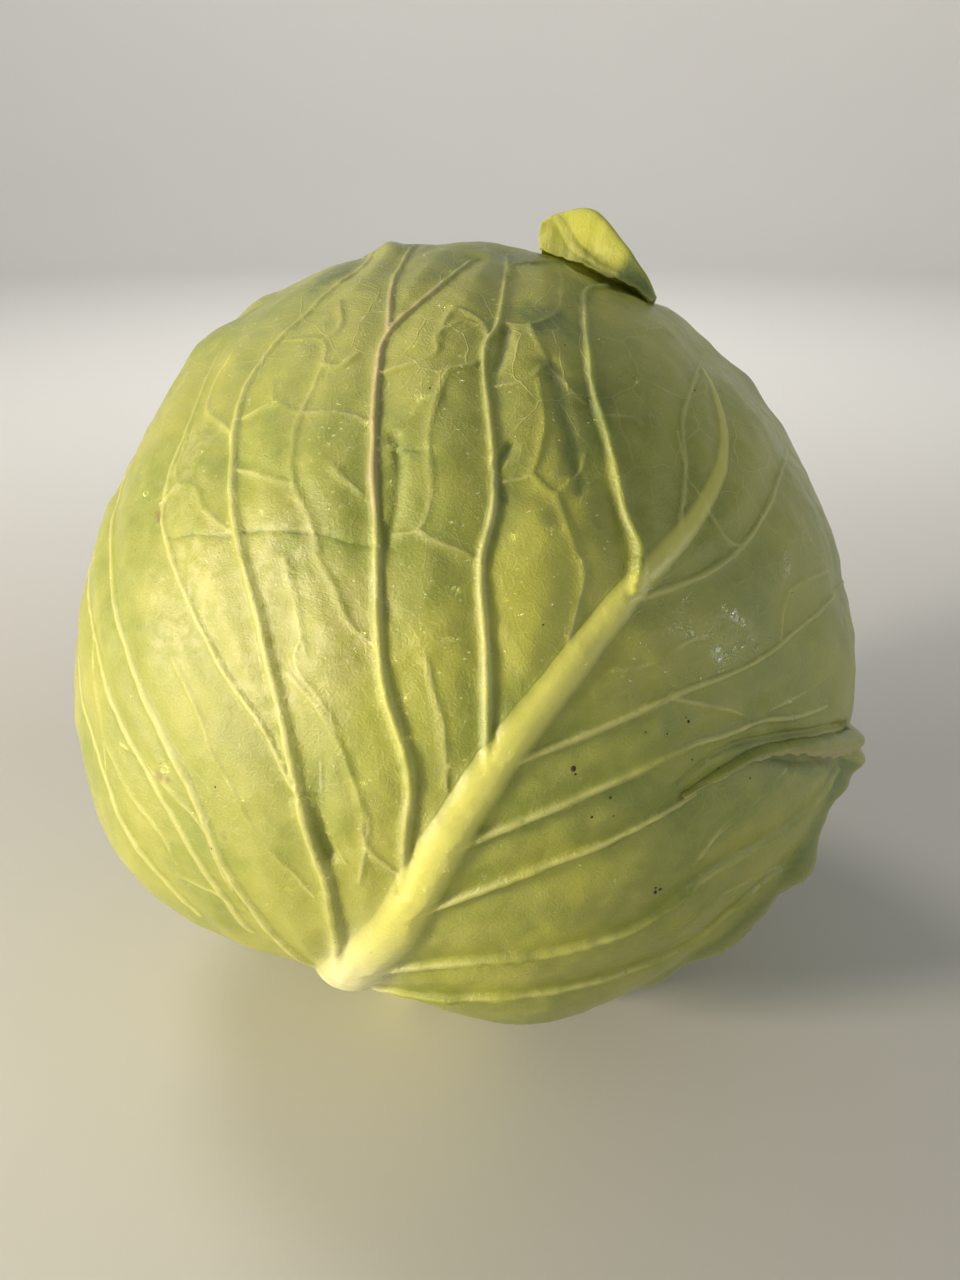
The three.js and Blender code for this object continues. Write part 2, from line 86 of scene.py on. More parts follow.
# Swells and hollows of the head: longitude, latitude, width in degrees, height
SWELLS = [
    (0, -90, 18, -12.5),
    (-69, 3, 26, -3.8),
    (50, 43, 24, -3.6),
    (-57, 33, 9, -1.4),
    (-61, 23, 6, 2.0),
    (-73, -54, 17, 3.2),
    (74, -10, 20, 1.8),
    (72, -60, 13, 1.6),
    (150, 20, 30, 1.5),
    (-150, -5, 24, -2.5),
    (20, 88, 24, -2.0),
    (77, 47, 15, 2.0),
]

# Ribs of the front leaf, as routes on its map with half width and height at both ends
FRONT_MIDRIB = [
    ([(-4, -100.5), (-5.5, -83), (-2, -58), (-1, -40), (2, -19), (7, -2), (14, 17), (24, 38),
      (28, 58), (24, 78)], (7.4, 1.0), (3.5, 0.5)),
]
FRONT_SIDE_RIBS = [
    ([(-3, -50), (-7, -38), (-11, -25), (-21, -11), (-30, 10), (-36, 24), (-42, 41),
      (-44, 52), (-39, 71), (-36, 89)], (2.4, 1.0), (2.0, 0.6)),
    ([(-44, 52), (-49, 66), (-53, 84), (-56, 104)], (1.3, 0.9), (0.8, 0.5)),
    ([(1, -20), (-6, -2), (-12, 12), (-14, 25), (-24, 51), (-24, 62), (-27, 82),
      (-30, 100)], (2.0, 0.9), (1.6, 0.5)),
    ([(14, 17), (13, 24), (8, 31), (3, 41), (-3, 53), (-7, 70), (-8, 86), (-2, 98)],
     (2.2, 1.1), (2.2, 0.9)),
    ([(-7, -86), (-10, -71), (-17, -54), (-24, -44), (-34, -27), (-46, -9), (-61, 11),
      (-69, 29), (-70, 42), (-66, 60), (-64, 82), (-70, 104)], (3.2, 1.1), (2.1, 0.5)),
    ([(-28, -38), (-39, -28), (-50, -21), (-72, -4), (-79, 4), (-84, 24), (-92, 48)],
     (1.7, 1.1), (1.0, 0.5)),
    ([(-9, -88), (-20, -82), (-35, -66), (-51, -47), (-73, -31), (-90, -17), (-116, 6),
      (-130, 30)], (2.9, 1.3), (1.5, 0.6)),
    ([(-30, -82), (-44, -66), (-59, -54), (-74, -45), (-90, -34), (-116, -20),
      (-136, -4)], (2.4, 1.3), (1.0, 0.5)),
    ([(-44, -88), (-62, -76), (-80, -62), (-100, -48), (-126, -34)], (2.6, 1.3), (1.2, 0.6)),
    ([(20, 30), (19, 44), (17, 56), (22, 76), (30, 96)], (1.3, 0.8), (0.9, 0.4)),
    ([(13, 14), (27, 25), (36, 36), (43, 50), (52, 66), (66, 84)], (1.6, 0.8), (1.1, 0.5)),
    ([(3, -19), (17, -7), (30, 4), (43, 13), (58, 27), (82, 46), (104, 58)],
     (1.6, 0.8), (1.2, 0.5)),
    ([(0, -37), (18, -20), (27, -12), (35, -5), (44, 0), (52, 4.6), (61, 7.5), (74, 13)],
     (1.9, 1.1), (1.6, 0.8)),
    ([(-1, -54), (15, -37), (28, -26), (37.8, -16.5), (41, -13)], (1.9, 1.2), (1.7, 1.2)),
    ([(-3, -75), (16, -61), (32, -53), (44, -45), (53.6, -31.3), (62, -24), (77, -14.4),
      (89, -6), (99, 1)], (2.1, 1.5), (1.9, 1.7)),
    ([(-4, -93), (20, -77), (40, -67), (57, -58), (68, -51), (74, -41.6), (79, -34), (87, -27)],
     (2.1, 1.3), (1.9, 1.5)),
]
# Grooves in the front leaf: the mouth of the fold at its right, and undercuts beside ribs
FRONT_CREASES = [
    ([(36, -12), (39, -8), (42, -4.6), (46, -2), (52, 0.8), (61, 4), (71, 6.8), (80, 9.4), (92, 12)],
     (0.9, 1.3), (0.7, 1.5)),
    ([(45, -8.2), (50, -4.6), (54.5, -2.6), (61, -1.2), (68, -0.4), (78, 1.2), (90, 3.2), (100, 6)],
     (1.2, 2.6), (0.6, 1.7)),
    ([(-19, -47), (-22, -42), (-24, -37), (-26, -30)], (2.2, 1.2), (1.2, 0.3)),
    ([(-4, -48), (-6, -40), (-9, -30)], (1.8, 1.0), (0.8, 0.3)),
    ([(-34, 29), (-31, 24), (-29, 17), (-28, 10)], (1.6, 1.2), (0.9, 0.4)),
    ([(-22, 60), (-21, 54), (-21, 49)], (2.0, 1.6), (1.2, 0.6)),
    ([(-14, 34), (-15, 28), (-12, 24)], (1.6, 1.2), (0.7, 0.3)),
    ([(-12, 54), (-8, 46), (-4, 38), (0, 30)], (2.4, 1.6), (0.9, 0.4)),
    ([(-54, 4), (-47, 6), (-39, 8), (-34, 8), (-30, 9)], (0.7, 0.5), (0.35, 0.25)),
    ([(-72, -2), (-66, 0), (-57, 2)], (0.7, 0.5), (0.3, 0.2)),
    ([(-33, 27), (-30, 27), (-26, 28)], (0.6, 0.5), (0.3, 0.2)),
]
# Thin veins that branch off the ribs of the front leaf and join between them
FRONT_THIN_VEINS = [
    # along the panels that run up from the base
    [(-4, -46), (-13, -42), (-17, -34), (-26, -22), (-36, -15), (-37, -9), (-43, 2)],
    [(-61, -24), (-52, -31), (-47, -37), (-40, -43), (-34, -49), (-28, -52), (-19, -58)],
    [(-37, -17), (-29, -21), (-23, -26), (-20, -30), (-15, -36), (-13, -44), (-12, -50)],
    [(-26, -30), (-24, -36), (-21, -42), (-16, -47)],
    [(-72, -50), (-64, -50), (-53, -52), (-45, -56), (-37, -67), (-29, -76)],
    [(-96, -30), (-88, -40), (-79, -52), (-77, -65)],
    [(-50, -74), (-40, -73), (-33, -75)],
    [(-50, -70), (-55, -65), (-65, -61), (-70, -58), (-80, -52)],
    [(-15, -6), (-12, -11), (-9, -15), (-7, -19), (-4, -26)],
    # net on the upper left
    [(-39, 5), (-43, 10), (-48, 15), (-51, 21), (-53, 29), (-54, 41), (-57, 47), (-65, 47),
     (-71, 47)],
    [(-57, 47), (-55, 52), (-59, 60)],
    [(-54, 41), (-50, 41), (-48, 45)],
    [(-68, 25), (-60, 30), (-54, 29), (-43, 31), (-38, 29)],
    [(-66, 20), (-69, 23), (-79, 28), (-83, 37), (-82, 45)],
    [(-60, 30), (-63, 35)],
    [(-80, 4), (-75, 9), (-69, 9), (-66, 6), (-57, 3)],
    [(-75, 9), (-78, 12), (-82, 21)],
    [(-42, 20), (-38, 18), (-33, 16)],
    [(-62, 15), (-57, 15), (-48, 15)],
    [(-39, 4), (-34, 0), (-29, -5), (-24, -7)],
    [(-44, 2), (-41, -3), (-38, -8), (-35, -12)],
    # net between the second and third side ribs
    [(-42, 41), (-33, 48), (-34, 53), (-31, 59), (-28, 59)],
    [(-25, 49), (-29, 45), (-29, 39), (-28, 31), (-24, 21), (-24, 14), (-28, 12)],
    [(-24, 14), (-20, 13), (-13, 13)],
    [(-25, 57), (-27, 60), (-33, 62), (-34, 57), (-33, 52)],
    # net between the third and fourth side ribs
    [(-26, 81), (-27, 88), (-21, 95), (-16, 102), (-11, 94), (-7, 84)],
    [(-15, 90), (-13, 72), (-18, 63), (-23, 62)],
    [(-18, 63), (-13, 55), (-6, 49), (-3, 48)],
    [(-20, 45), (-14, 49), (-13, 55)],
    [(-13, 49), (-10, 42), (-9, 37), (-9, 30), (-13, 27)],
    [(-9, 30), (-4, 28), (-1, 34), (-1, 37)],
    [(-4, 28), (-1, 24), (2, 20), (5, 16), (6, 5)],
    # right of the fourth side rib
    [(0, 47), (6, 49), (8, 48)],
    [(6, 59), (7, 54), (8, 48)],
    [(16, 51), (18, 46), (20, 42), (24, 39)],
    [(25, 38), (30, 34), (35, 35), (41, 45), (50, 62)],
    [(15, 3), (21, 6), (27, 12), (31, 15)],
    [(28, 2), (34, 3), (44, 4), (49, 3)],
    [(46, 1), (53, 7), (63, 14), (72, 20)],
    [(50, 21), (49, 26), (52, 33), (69, 44)],
    [(50, -25), (52, -17), (58, -10), (64, -3)],
    [(86, -54), (91, -44), (95, -33), (96, -25)],
    [(56, -44), (62, -36), (68, -32), (77, -28.5), (85, -27)],
    [(49, -27), (51.6, -20), (56, -13), (61.4, -7.2), (68, -3.5)],
]
THIN_VEIN_SIZE = ((0.75, 0.5), (0.4, 0.24))

# The leaves from the outside inwards. reach is how far the blade goes by bearing on its map
LEAVES = {
    "front_leaf": {
        "lon": 8,
        "lat": -12,
        "reach": [
            (-90, 108), (-76, 117), (-60, 116), (-48, 111), (-38, 103), (-22, 101), (-8, 101),
            (2, 107), (12, 122), (28, 134), (48, 130), (66, 122), (78, 116), (85, 104), (90, 119),
            (102, 123), (114, 119), (123, 112), (132, 122), (150, 140), (172, 146), (196, 144),
            (216, 136), (236, 130), (254, 121),
        ],
        "ripple": 1.2,
        "lifts": [(-16, 11, 3.4, 6), (-32, 11, 2.4, 7), (3.5, 3, 4.0, 9), (-2, 2.5, 2.8, 7),
                  (121, 4, 2.2, 14), (150, 20, 1.2, 12), (60, 16, 1.8, 14)],
    },
    "back_leaf": {
        "lon": 146,
        "lat": -6,
        "reach": [
            (-90, 118), (-74, 130), (-48, 134), (-20, 138), (8, 140), (32, 146), (55, 158),
            (72, 154), (88, 158), (104, 166), (124, 152), (150, 136), (176, 130), (204, 134),
            (234, 134), (254, 129),
        ],
        "ripple": 2.2,
        "lifts": [(84, 22, 2.2, 14), (120, 16, 1.4, 14)],
        "ribs": {"base": -112, "tip": 96, "pairs": 5, "span": 108, "wide": 6.6, "high": 3.6},
    },
    "left_leaf": {
        "lon": -106,
        "lat": -8,
        "reach": [
            (-90, 114), (-73, 126), (-44, 136), (-10, 140), (20, 138), (46, 148), (68, 158),
            (86, 150), (106, 160), (130, 150), (160, 138), (190, 134), (224, 134), (252, 125),
        ],
        "ripple": 2.0,
        "lifts": [(80, 24, 1.8, 14)],
        "ribs": {"base": -110, "tip": 92, "pairs": 5, "span": 104, "wide": 6.2, "high": 3.8},
    },
    "inner_leaf": {
        "lon": 34,
        "lat": -4,
        "reach": [
            (-90, 120), (-72, 131), (-36, 134), (0, 134), (30, 138), (58, 150), (80, 162),
            (100, 156), (122, 150), (150, 138), (180, 134), (216, 134), (250, 130),
        ],
        "ripple": 1.8,
        "lifts": [(90, 24, 1.5, 14)],
        "ribs": {"base": -112, "tip": 92, "pairs": 4, "span": 100, "wide": 5.6, "high": 4.0},
    },
}

# The curled flap on the front leaf's upper margin, as four rails from its left to its right
# end: map x, map y and height over the blade. It is rooted behind, and stands up like a tent
FLAP_RAILS = [
    [(-21, 115, -0.6), (-17, 116, -0.6), (-10, 114.5, -0.6), (-4, 110, -0.6), (4, 105, -0.6),
     (11, 99, -0.4)],
    [(-22.6, 107.5, 6.3), (-18.9, 109, 8.8), (-11.4, 108, 11), (-5.7, 105, 9.1), (2.5, 101, 5.8),
     (10.3, 97.5, 1.7)],
    [(-22.6, 105.5, 3.5), (-17.9, 106, 5.6), (-12.1, 104, 4.2), (-5.9, 101.5, 3.1), (0.1, 99, 2.8),
     (9.8, 96.5, 1.3)],
    [(-21.7, 103, 1.1), (-17, 102, 1.2), (-11.1, 100, 1.4), (-4.7, 98.3, 1.5), (2.4, 97, 1.6),
     (9.4, 95.5, 1.0)],
]
# The pleat over the fold at the front leaf's right, in the same way, from its inner end outwards
PLEAT_RAILS = [
    [(38, -13.6, -0.4), (46, -5.2, -0.5), (52, -0.8, -0.5), (62, 3.4, -0.6), (77, 7.2, -0.6),
     (90, 10.5, -0.6), (99, 13, -0.6)],
    [(38.3, -14, 0.5), (47, -5.8, 1.2), (53, -1.8, 1.5), (62.5, 1.9, 2.2), (77.5, 4.8, 2.9),
     (90.5, 7.6, 3.4), (100, 10, 3.8)],
    [(38.7, -14.5, 0.4), (47.8, -6.6, 1.3), (53.6, -2.9, 1.7), (63, 0.2, 2.4), (77.8, 1.9, 3.0),
     (91, 4.6, 3.6), (100, 7, 4.0)],
    [(39, -15, 0.2), (48.4, -7.2, 0.8), (54, -3.7, 1.1), (63.3, -1.2, 1.6), (78, -0.2, 2.1),
     (91.5, 2.4, 2.5), (100.5, 4.5, 3.0)],
]
# How much of the way to its rails the pleat reaches from its root, the first rail
PLEAT_REACH = 0.65
SHEET_THICKNESS = 0.8
FLAP_STEPS = (96, 56)
PLEAT_STEPS = (150, 22)
# The flap's rib, as shares of the way from its left to its right and from behind to its front
FLAP_RIB = [(0.12, 0.5), (0.2, 0.62), (0.28, 0.7), (0.39, 0.75), (0.53, 0.77), (0.67, 0.84)]

# Ovals on the front leaf's map, as middle, half lengths along x and y, and strength: painted shade
# in hollows and under the flap and the pleat, painted light on panels that glow as if lit through,
# pink tinges, waxy blooms with a painted sheen, and wet places
HOLLOW_SHADES = [
    ((-14, 100), (7, 1.3), 0.8),
    ((-4, 96.5), (6, 1.3), 0.7),
    ((66, -1.8), (18, 1.4), 0.5),
    ((90, 0.5), (10, 2.0), 0.5),
    ((-24, 96), (9, 5), 0.7),
    ((-15, 66), (6, 5), 0.8),
    ((-2, 44), (5, 10), 0.6),
    ((-70, 78), (4, 10), 0.8),
    ((-10, 84), (5, 9), 0.5),
    ((-12, 24), (3, 9), 0.35),
    ((34, -16), (12, 4), 0.35),
]
LIT_PANELS = [
    ((-2, 10), (8, 15), 0.45),
    ((-16, -14), (8, 15), 0.4),
    ((-4, 36), (5, 12), 0.3),
    ((22, -34), (9, 6), 0.4),
    ((30, -50), (11, 6), 0.4),
    ((20, -68), (14, 7), 0.3),
    ((-40, 58), (6, 14), 0.2),
]
TINGES = [
    ((-36, 24), (6, 12), 0.5),
    ((-43, 45), (6, 14), 0.6),
    ((-42, 64), (7, 9), 0.6),
]
# Waxy blooms, whose colour carries a painted sheen
BLOOM_AND_SHEEN_PATCHES = [
    ((-62, -12), (10, 14), 1.0),
    ((-46, 0), (8, 12), 1.0),
    ((-40, -18), (8, 12), 0.9),
    ((-30, -6), (6, 12), 0.8),
    ((-76, 12), (7, 12), 0.7),
]
WET_PATCHES = [((36, 16), (8, 4), 1.0), ((26, 15), (4, 2), 0.8), ((47, 35), (2, 4), 0.9)]
# Round things on the same map, as place and radius
BLEMISHES = [((-58, -50), 1.2), ((-55.5, -49), 0.8), ((-79, 1.5), 1.2), ((-40, -54), 0.6)]
DROPS = [
    ((-32.4, 37.2), 0.9), ((-15, 6.2), 1.0), ((-13.3, -1.9), 0.8), ((-3.4, 21.2), 0.8),
    ((-9, 18), 0.7), ((-13.7, -19.7), 0.8), ((-15.7, -15.8), 0.7), ((-16.8, -13.7), 0.8),
    ((-31, 38), 0.5), ((-32.7, 34.2), 0.5), ((-6.4, 7.6), 0.5), ((3.3, 18.3), 0.6),
    ((-3.1, 49), 0.6), ((-45.7, -45.3), 0.6), ((-27, -37.5), 0.6), ((-24.6, -58.5), 0.6),
    ((-86.8, 5), 0.8), ((-38, -43.3), 0.5), ((-57, -47), 1.1), ((-40, 30), 0.5), ((-52, 8), 0.6),
    ((-35, 62), 0.7), ((-30, 55), 0.5), ((-3, 66), 0.7), ((-20, 74), 0.5), ((5, 58), 0.5),
    ((-60, 30), 0.6), ((-18, -30), 0.5), ((17, 19), 0.8), ((20, 17), 0.6), ((25, 19), 0.9),
    ((48, 35), 1.0), ((32, 7), 0.7), ((23, 13), 0.7), ((46, 19), 0.8), ((36, 27), 0.6),
    ((50, 31), 0.7), ((41, 24), 0.8), ((29, -4), 0.6), ((57, 10), 0.6), ((60, 7), 0.5),
]
PUDDLES = [
    ((35.5, 20.2), 1.5), ((37.7, 19.9), 1.3), ((32.9, 17), 1.3), ((41.5, 17.7), 1.0),
    ((34.5, 12.5), 1.7), ((36.4, 13), 1.2), ((38.4, 14.3), 1.1), ((31, 14.8), 1.1),
    ((24.9, 14.1), 0.9), ((27.4, 13.9), 0.9), ((48.3, 34.7), 1.1), ((47.4, 36.6), 0.8),
    ((43.6, 16.9), 0.9), ((39.9, 16.2), 0.9), ((33, 20.8), 0.9), ((36.6, 10.6), 1.2),
]
SPECKS = [
    ((15, -15), 0.8), ((15.8, -15.8), 0.4), ((1, 6), 0.35), ((25, -5), 0.35), ((32.5, -0.7), 0.45),
    ((31.8, -0.2), 0.3), ((43, -34), 0.7), ((43.8, -33.2), 0.5), ((42.4, -33), 0.4),
    ((22.2, -22.4), 0.35), ((29, -4), 0.3),
    ((44, -7), 0.3), ((24, -18), 0.4), ((26, -21), 0.3), ((-42, -59), 0.4), ((-44, -44), 0.3),
    ((53, -7), 0.3), ((37, -7), 0.3), ((-31, 40), 0.3), ((-10, 60), 0.3), ((20, 66), 0.3),
]
# Specks are drawn a little smaller than they were measured
SPECK_SHARE = 0.7
MIST_COUNT = 900
MIST_MIDDLE = (-34, 4)
MIST_SPREAD = (30, 38)
MIST_RADII = (0.1, 0.26)

# Coarse spacing of a blade's inner face, and how much denser the front leaf is in its middle
INNER_SPACING = 5.0
DENSE_MIDDLE = 0.1

# Shape of each kind of rib: how far its crest and its skirt reach in half widths, the crest's
# share of the height, and how blunt the crest is
RIDGES = {
    "Midrib": (1.0, 1.5, 0.84, 0.9),
    "Side ribs": (0.6, 1.8, 0.55, 1.1),
    "Thin veins": (1.0, 2.0, 0.7, 1.4),
    "Creases": (0.8, 1.7, 0.7, 1.2),
}
JOINT_WIDTH = 0.0015
JOINT_RISE = JOINT_WIDTH / 6

# Tones that the finishes mix in
SUNLIT_BLADE = (0.60, 0.61, 0.06, 1)
PINK_TINGE = (0.52, 0.38, 0.22, 1)
DRY_RIM = (0.56, 0.47, 0.23, 1)
# A painted sheen on the waxy bloom, and pale wax flecks with painted glints
PAINTED_SHEEN = (0.80, 0.74, 0.36, 1)
WAX_FLECK_AND_GLINT = (0.95, 0.92, 0.62, 1)
BRUISE = (0.24, 0.17, 0.04, 1)
WATER_TINT = (0.95, 0.98, 0.9, 1)
SPECK_TONES = ((0.02, 0.014, 0.008, 1), (0.07, 0.05, 0.025, 1))
FIBRE_RING = (0.50, 0.47, 0.25, 1)
CUT_BROWN = (0.28, 0.18, 0.08, 1)
ROOM_TONE = (0.65, 0.66, 0.64, 1)
ROOM_STRENGTH = 0.4

# Soft lights, as place, size and colour. All face the head but the backdrop light
LIGHTS = {
    "key": ((-0.90, -0.42, 0.26), 0.18, (1.0, 0.88, 0.68)),
    "fill": ((1.0, -0.26, 0.22), 0.28, (0.86, 0.92, 1.0)),
    "low": ((-0.72, -0.62, 0.06), 0.3, (1.0, 0.93, 0.80)),
    "top": ((-0.45, 0.40, 0.95), 0.35, (1.0, 0.94, 0.82)),
    "backdrop": ((0, 0.6, 1.2), 1.2, (1.0, 0.98, 0.95)),
}
BACKDROP_TARGET = (0, 2.5, 0.4)

# The floor bends up at its edge into a slope
FLOOR_BEND = 0.8
FLOOR_END = (3.2, 2.2)
PICTURE = (960, 1280)
SENSOR = 36.0
HEAD_IN_PICTURE = (463, 635)


def unit(lon, lat):
    """Direction from the head's centre, in the globe's frame."""
    lon, lat = math.radians(lon), math.radians(lat)
    return np.array([math.cos(lat) * math.cos(lon), math.cos(lat) * math.sin(lon), math.sin(lat)])


def axis_turn(axis, angle):
    return Matrix.Rotation(math.radians(angle), 3, axis)


HEAD_TURN = np.array(axis_turn("Z", LEAN_HEADING) @ axis_turn("Y", LEAN) @ axis_turn("Z", SPIN))
DOWN = HEAD_TURN.T @ np.array([0.0, 0.0, -1.0])


def to_row(points):
    """Globe frame in millimetres to row frame in metres."""
    return (points @ HEAD_TURN.T + HEAD_CENTRE) * MM


def smoothstep(t):
    t = np.clip(t, 0, 1)
    return t * t * (3 - 2 * t)


def blend(a, b, c, d, t):
    """Catmull-Rom blend of four values."""
    return 0.5 * (2 * b + (c - a) * t + (2 * a - 5 * b + 4 * c - d) * t * t
                  + (3 * b - a - 3 * c + d) * t * t * t)


class LeafMap:
    """True distance and bearing from a leaf's middle, on the head's mean globe."""

    def __init__(self, lon, lat):
        self.middle = unit(lon, lat)
        north = np.array([0.0, 0.0, 1.0]) - self.middle[2] * self.middle
        self.north = north / np.linalg.norm(north)
        self.east = np.cross(self.north, self.middle)

    def to_direction(self, flat):
        arc = np.hypot(flat[:, 0], flat[:, 1]) / HEAD_RADIUS
        bearing = np.arctan2(flat[:, 1], flat[:, 0])
        across = (np.sin(arc) * np.cos(bearing))[:, None] * self.east
        along = (np.sin(arc) * np.sin(bearing))[:, None] * self.north
        return np.cos(arc)[:, None] * self.middle + across + along

    def from_direction(self, dirs):
        arc = np.arccos(np.clip(dirs @ self.middle, -1, 1)) * HEAD_RADIUS
        bearing = np.arctan2(dirs @ self.north, dirs @ self.east)
        return np.stack([arc * np.cos(bearing), arc * np.sin(bearing)], 1)


def reach_at(leaf, bearing):
    """How far the blade reaches from its map's middle, at bearings in degrees."""
    angles = np.array([a for a, _ in leaf["reach"]], float)
    reach = np.array([r for _, r in leaf["reach"]], float)
    count = len(angles)
    first = angles[0]
    angle = first + (bearing - first) % 360
    i = np.searchsorted(angles, angle, side="right") - 1
    ends = np.append(angles[1:], first + 360)
    t = (angle - angles[i]) / (ends[i] - angles[i])
    at = [reach[(i + k) % count] for k in (-1, 0, 1, 2)]
    turn = np.radians(bearing)
    return blend(*at, t) + leaf["ripple"] * (np.sin(9 * turn + 1) + 0.6 * np.sin(17 * turn))


def inside_margin(leaf, flat):
    """Distance inside the margin, negative outside it."""
    bearing = np.degrees(np.arctan2(flat[:, 1], flat[:, 0]))
    return reach_at(leaf, bearing) - np.hypot(flat[:, 0], flat[:, 1])


def cover(leaf, dirs):
    """1 under a leaf, falling to 0 over a ramp outside its margin."""
    flat = leaf["map"].from_direction(dirs)
    return smoothstep(1 + inside_margin(leaf, flat) / COVER_RAMP)


def layer_radius(dirs, depth, height):
    """The head's outside, flat where it rests, or a layer at a depth below it."""
    radius = HEAD_RADIUS - depth + height
    for lon, lat, width, swell in SWELLS:
        angle = np.degrees(np.arccos(np.clip(dirs @ unit(lon, lat), -1, 1)))
        radius = radius + swell * np.exp(-((angle / width) ** 2))
    downward = dirs @ DOWN
    spot = (REST_HEIGHT - depth) / np.maximum(downward, 0.05)
    return np.where(downward > 0.05, np.minimum(radius, spot), radius)


def smooth_route(points, step):
    """A smooth line through given points, as close points."""
    points = np.array(points, float)
    last = len(points) - 1
    dense = []
    for i in range(last):
        around = [points[min(max(k, 0), last)] for k in (i - 1, i, i + 1, i + 2)]
        parts = max(1, round(float(np.linalg.norm(around[2] - around[1])) / step))
        dense += [blend(*around, k / parts) for k in range(parts)]
    return np.array(dense + [points[last]])


def pattern_ribs(base, tip, pairs, span, wide, high, random):
    """Midrib and forked side ribs of a leaf whose veins follow the common pattern."""
    midrib = [([(0, base), (3, base * 0.6), (-2, base * 0.2), (2, tip * 0.4), (-1, tip)],
               (wide, 1.2), (high, 0.9))]
    sides = []
    for i in range(pairs):
        fork = 1 - i / pairs
        for side in (-1, 1):
            foot = base + 18 + (i + 0.25 * side) * (tip - base - 34) / pairs
            rise, out = 26 + 22 * fork, span * (0.7 + 0.3 * fork)
            route = [(0, foot)]
            for x, y in ((0.16, 0.45), (0.38, 0.9), (0.66, 1.35), (1, 1.85)):
                route.append((side * out * x + random.normal(0, 1.6),
                              foot + rise * y + random.normal(0, 2.2)))
            sides.append((route, (2.5, 1.2), (2.4, 1.1)))
            branch = [route[2], (side * out * 0.5, route[2][1] + rise * 0.7),
                      (side * out * 0.62, route[2][1] + rise * 1.5)]
            sides.append((branch, (1.5, 0.9), (1.4, 0.7)))
    return midrib, sides


def cross_veins(sides, random, gap):
    """Zigzag thin veins that join each side rib to its nearest neighbours."""
    lines = [smooth_route(route, 2.0) for route, _, _ in sides]
    veins = []
    for n, line in enumerate(lines):
        others = np.concatenate([other for m, other in enumerate(lines) if m != n])
        along = int(gap / 2) + int(random.integers(0, 3))
        while along < len(line) - 2:
            start = line[along]
            tangent = line[along + 1] - line[along - 1]
            normal = np.array([-tangent[1], tangent[0]]) / max(np.linalg.norm(tangent), 1e-6)
            side = random.choice([-1, 1])
            towards = others - start
            away = np.linalg.norm(towards, axis=1)
            facing = (towards @ normal) * side > 0.75 * away
            near = np.flatnonzero(facing & (away > 6) & (away < 30))
            if len(near):
                end = others[near[np.argmin(away[near])]]
                turns = [start]
                for t in (0.33, 0.66):
                    wobble = random.normal(0, 0.09) * np.linalg.norm(end - start)
                    turns.append(start + (end - start) * t + wobble * tangent
                                 / max(np.linalg.norm(tangent), 1e-6))
                veins.append(turns + [end])
            along += max(2, int(gap / 2 * random.uniform(0.6, 1.5)))
    return veins


def unseen(leaf, vein):
    """Whether a vein lies wholly on the far side of the head from the traced side."""
    dirs = leaf["map"].to_direction(np.array(vein)) @ HEAD_TURN.T
    return bool((dirs @ TRACED_SIDE < 0.35).all())


for order, (name, leaf) in enumerate(LEAVES.items()):
    leaf["map"] = LeafMap(leaf["lon"], leaf["lat"])
    leaf["above"] = list(LEAVES.values())[:order]
    random = np.random.default_rng(40 + order)
    if name == "front_leaf":
        leaf["midrib"], leaf["sides"] = FRONT_MIDRIB, FRONT_SIDE_RIBS
        leaf["creases"] = FRONT_CREASES
        thin = FRONT_THIN_VEINS + [
            vein for vein in cross_veins(leaf["sides"], random, 8) if unseen(leaf, vein)]
    else:
        leaf["midrib"], leaf["sides"] = pattern_ribs(random=random, **leaf["ribs"])
        leaf["creases"] = [([(0, -100), (2, -104)], (0.5, 0.5), (0.0, 0.0))]
        thin = cross_veins(leaf["sides"], random, 8)
    leaf["thin"] = [(route, *THIN_VEIN_SIZE) for route in thin]


def rib_lines(ribs, step, fades=1.0, unevenness=1.0):
    """Each rib as its points, half widths and heights, a little uneven along its way."""
    lines = []
    for order, (route, wide, high) in enumerate(ribs):
        line = smooth_route(route, step)
        t = np.linspace(0, 1, len(line)) ** fades
        way = np.arange(len(line)) * step + 7 * order
        uneven = 1 + unevenness * (0.08 * np.sin(0.5 * way) + 0.05 * np.sin(1.3 * way + 1))
        lines.append((line, (wide[0] + (wide[1] - wide[0]) * t) * uneven,
                      (high[0] + (high[1] - high[0]) * t) * uneven))
    return lines


def leaf_ribs(leaf, step):
    return {
        "midrib": rib_lines(leaf["midrib"], step, 0.8, 0.2),
        "side_ribs": rib_lines(leaf["sides"], step * 0.65, 1.0, 0.6),
        "thin_veins": rib_lines(leaf["thin"], step * 0.65),
        "creases": rib_lines(leaf["creases"], step),
    }


def margin_lift(leaf, flat, inside):
    """How far the free margin stands off, near the bearings where it is lifted."""
    bearing = np.degrees(np.arctan2(flat[:, 1], flat[:, 0]))
    lift = np.zeros(len(flat))
    for angle, spread, height, width in leaf["lifts"]:
        turn = (bearing - angle + 180) % 360 - 180
        lift += height * np.exp(-((turn / spread) ** 2)) * smoothstep(1 - inside / width)
    wave = 1 + 0.3 * np.sin(np.radians(bearing) * 23 + 1) + 0.15 * np.sin(np.radians(bearing) * 41)
    return lift * wave


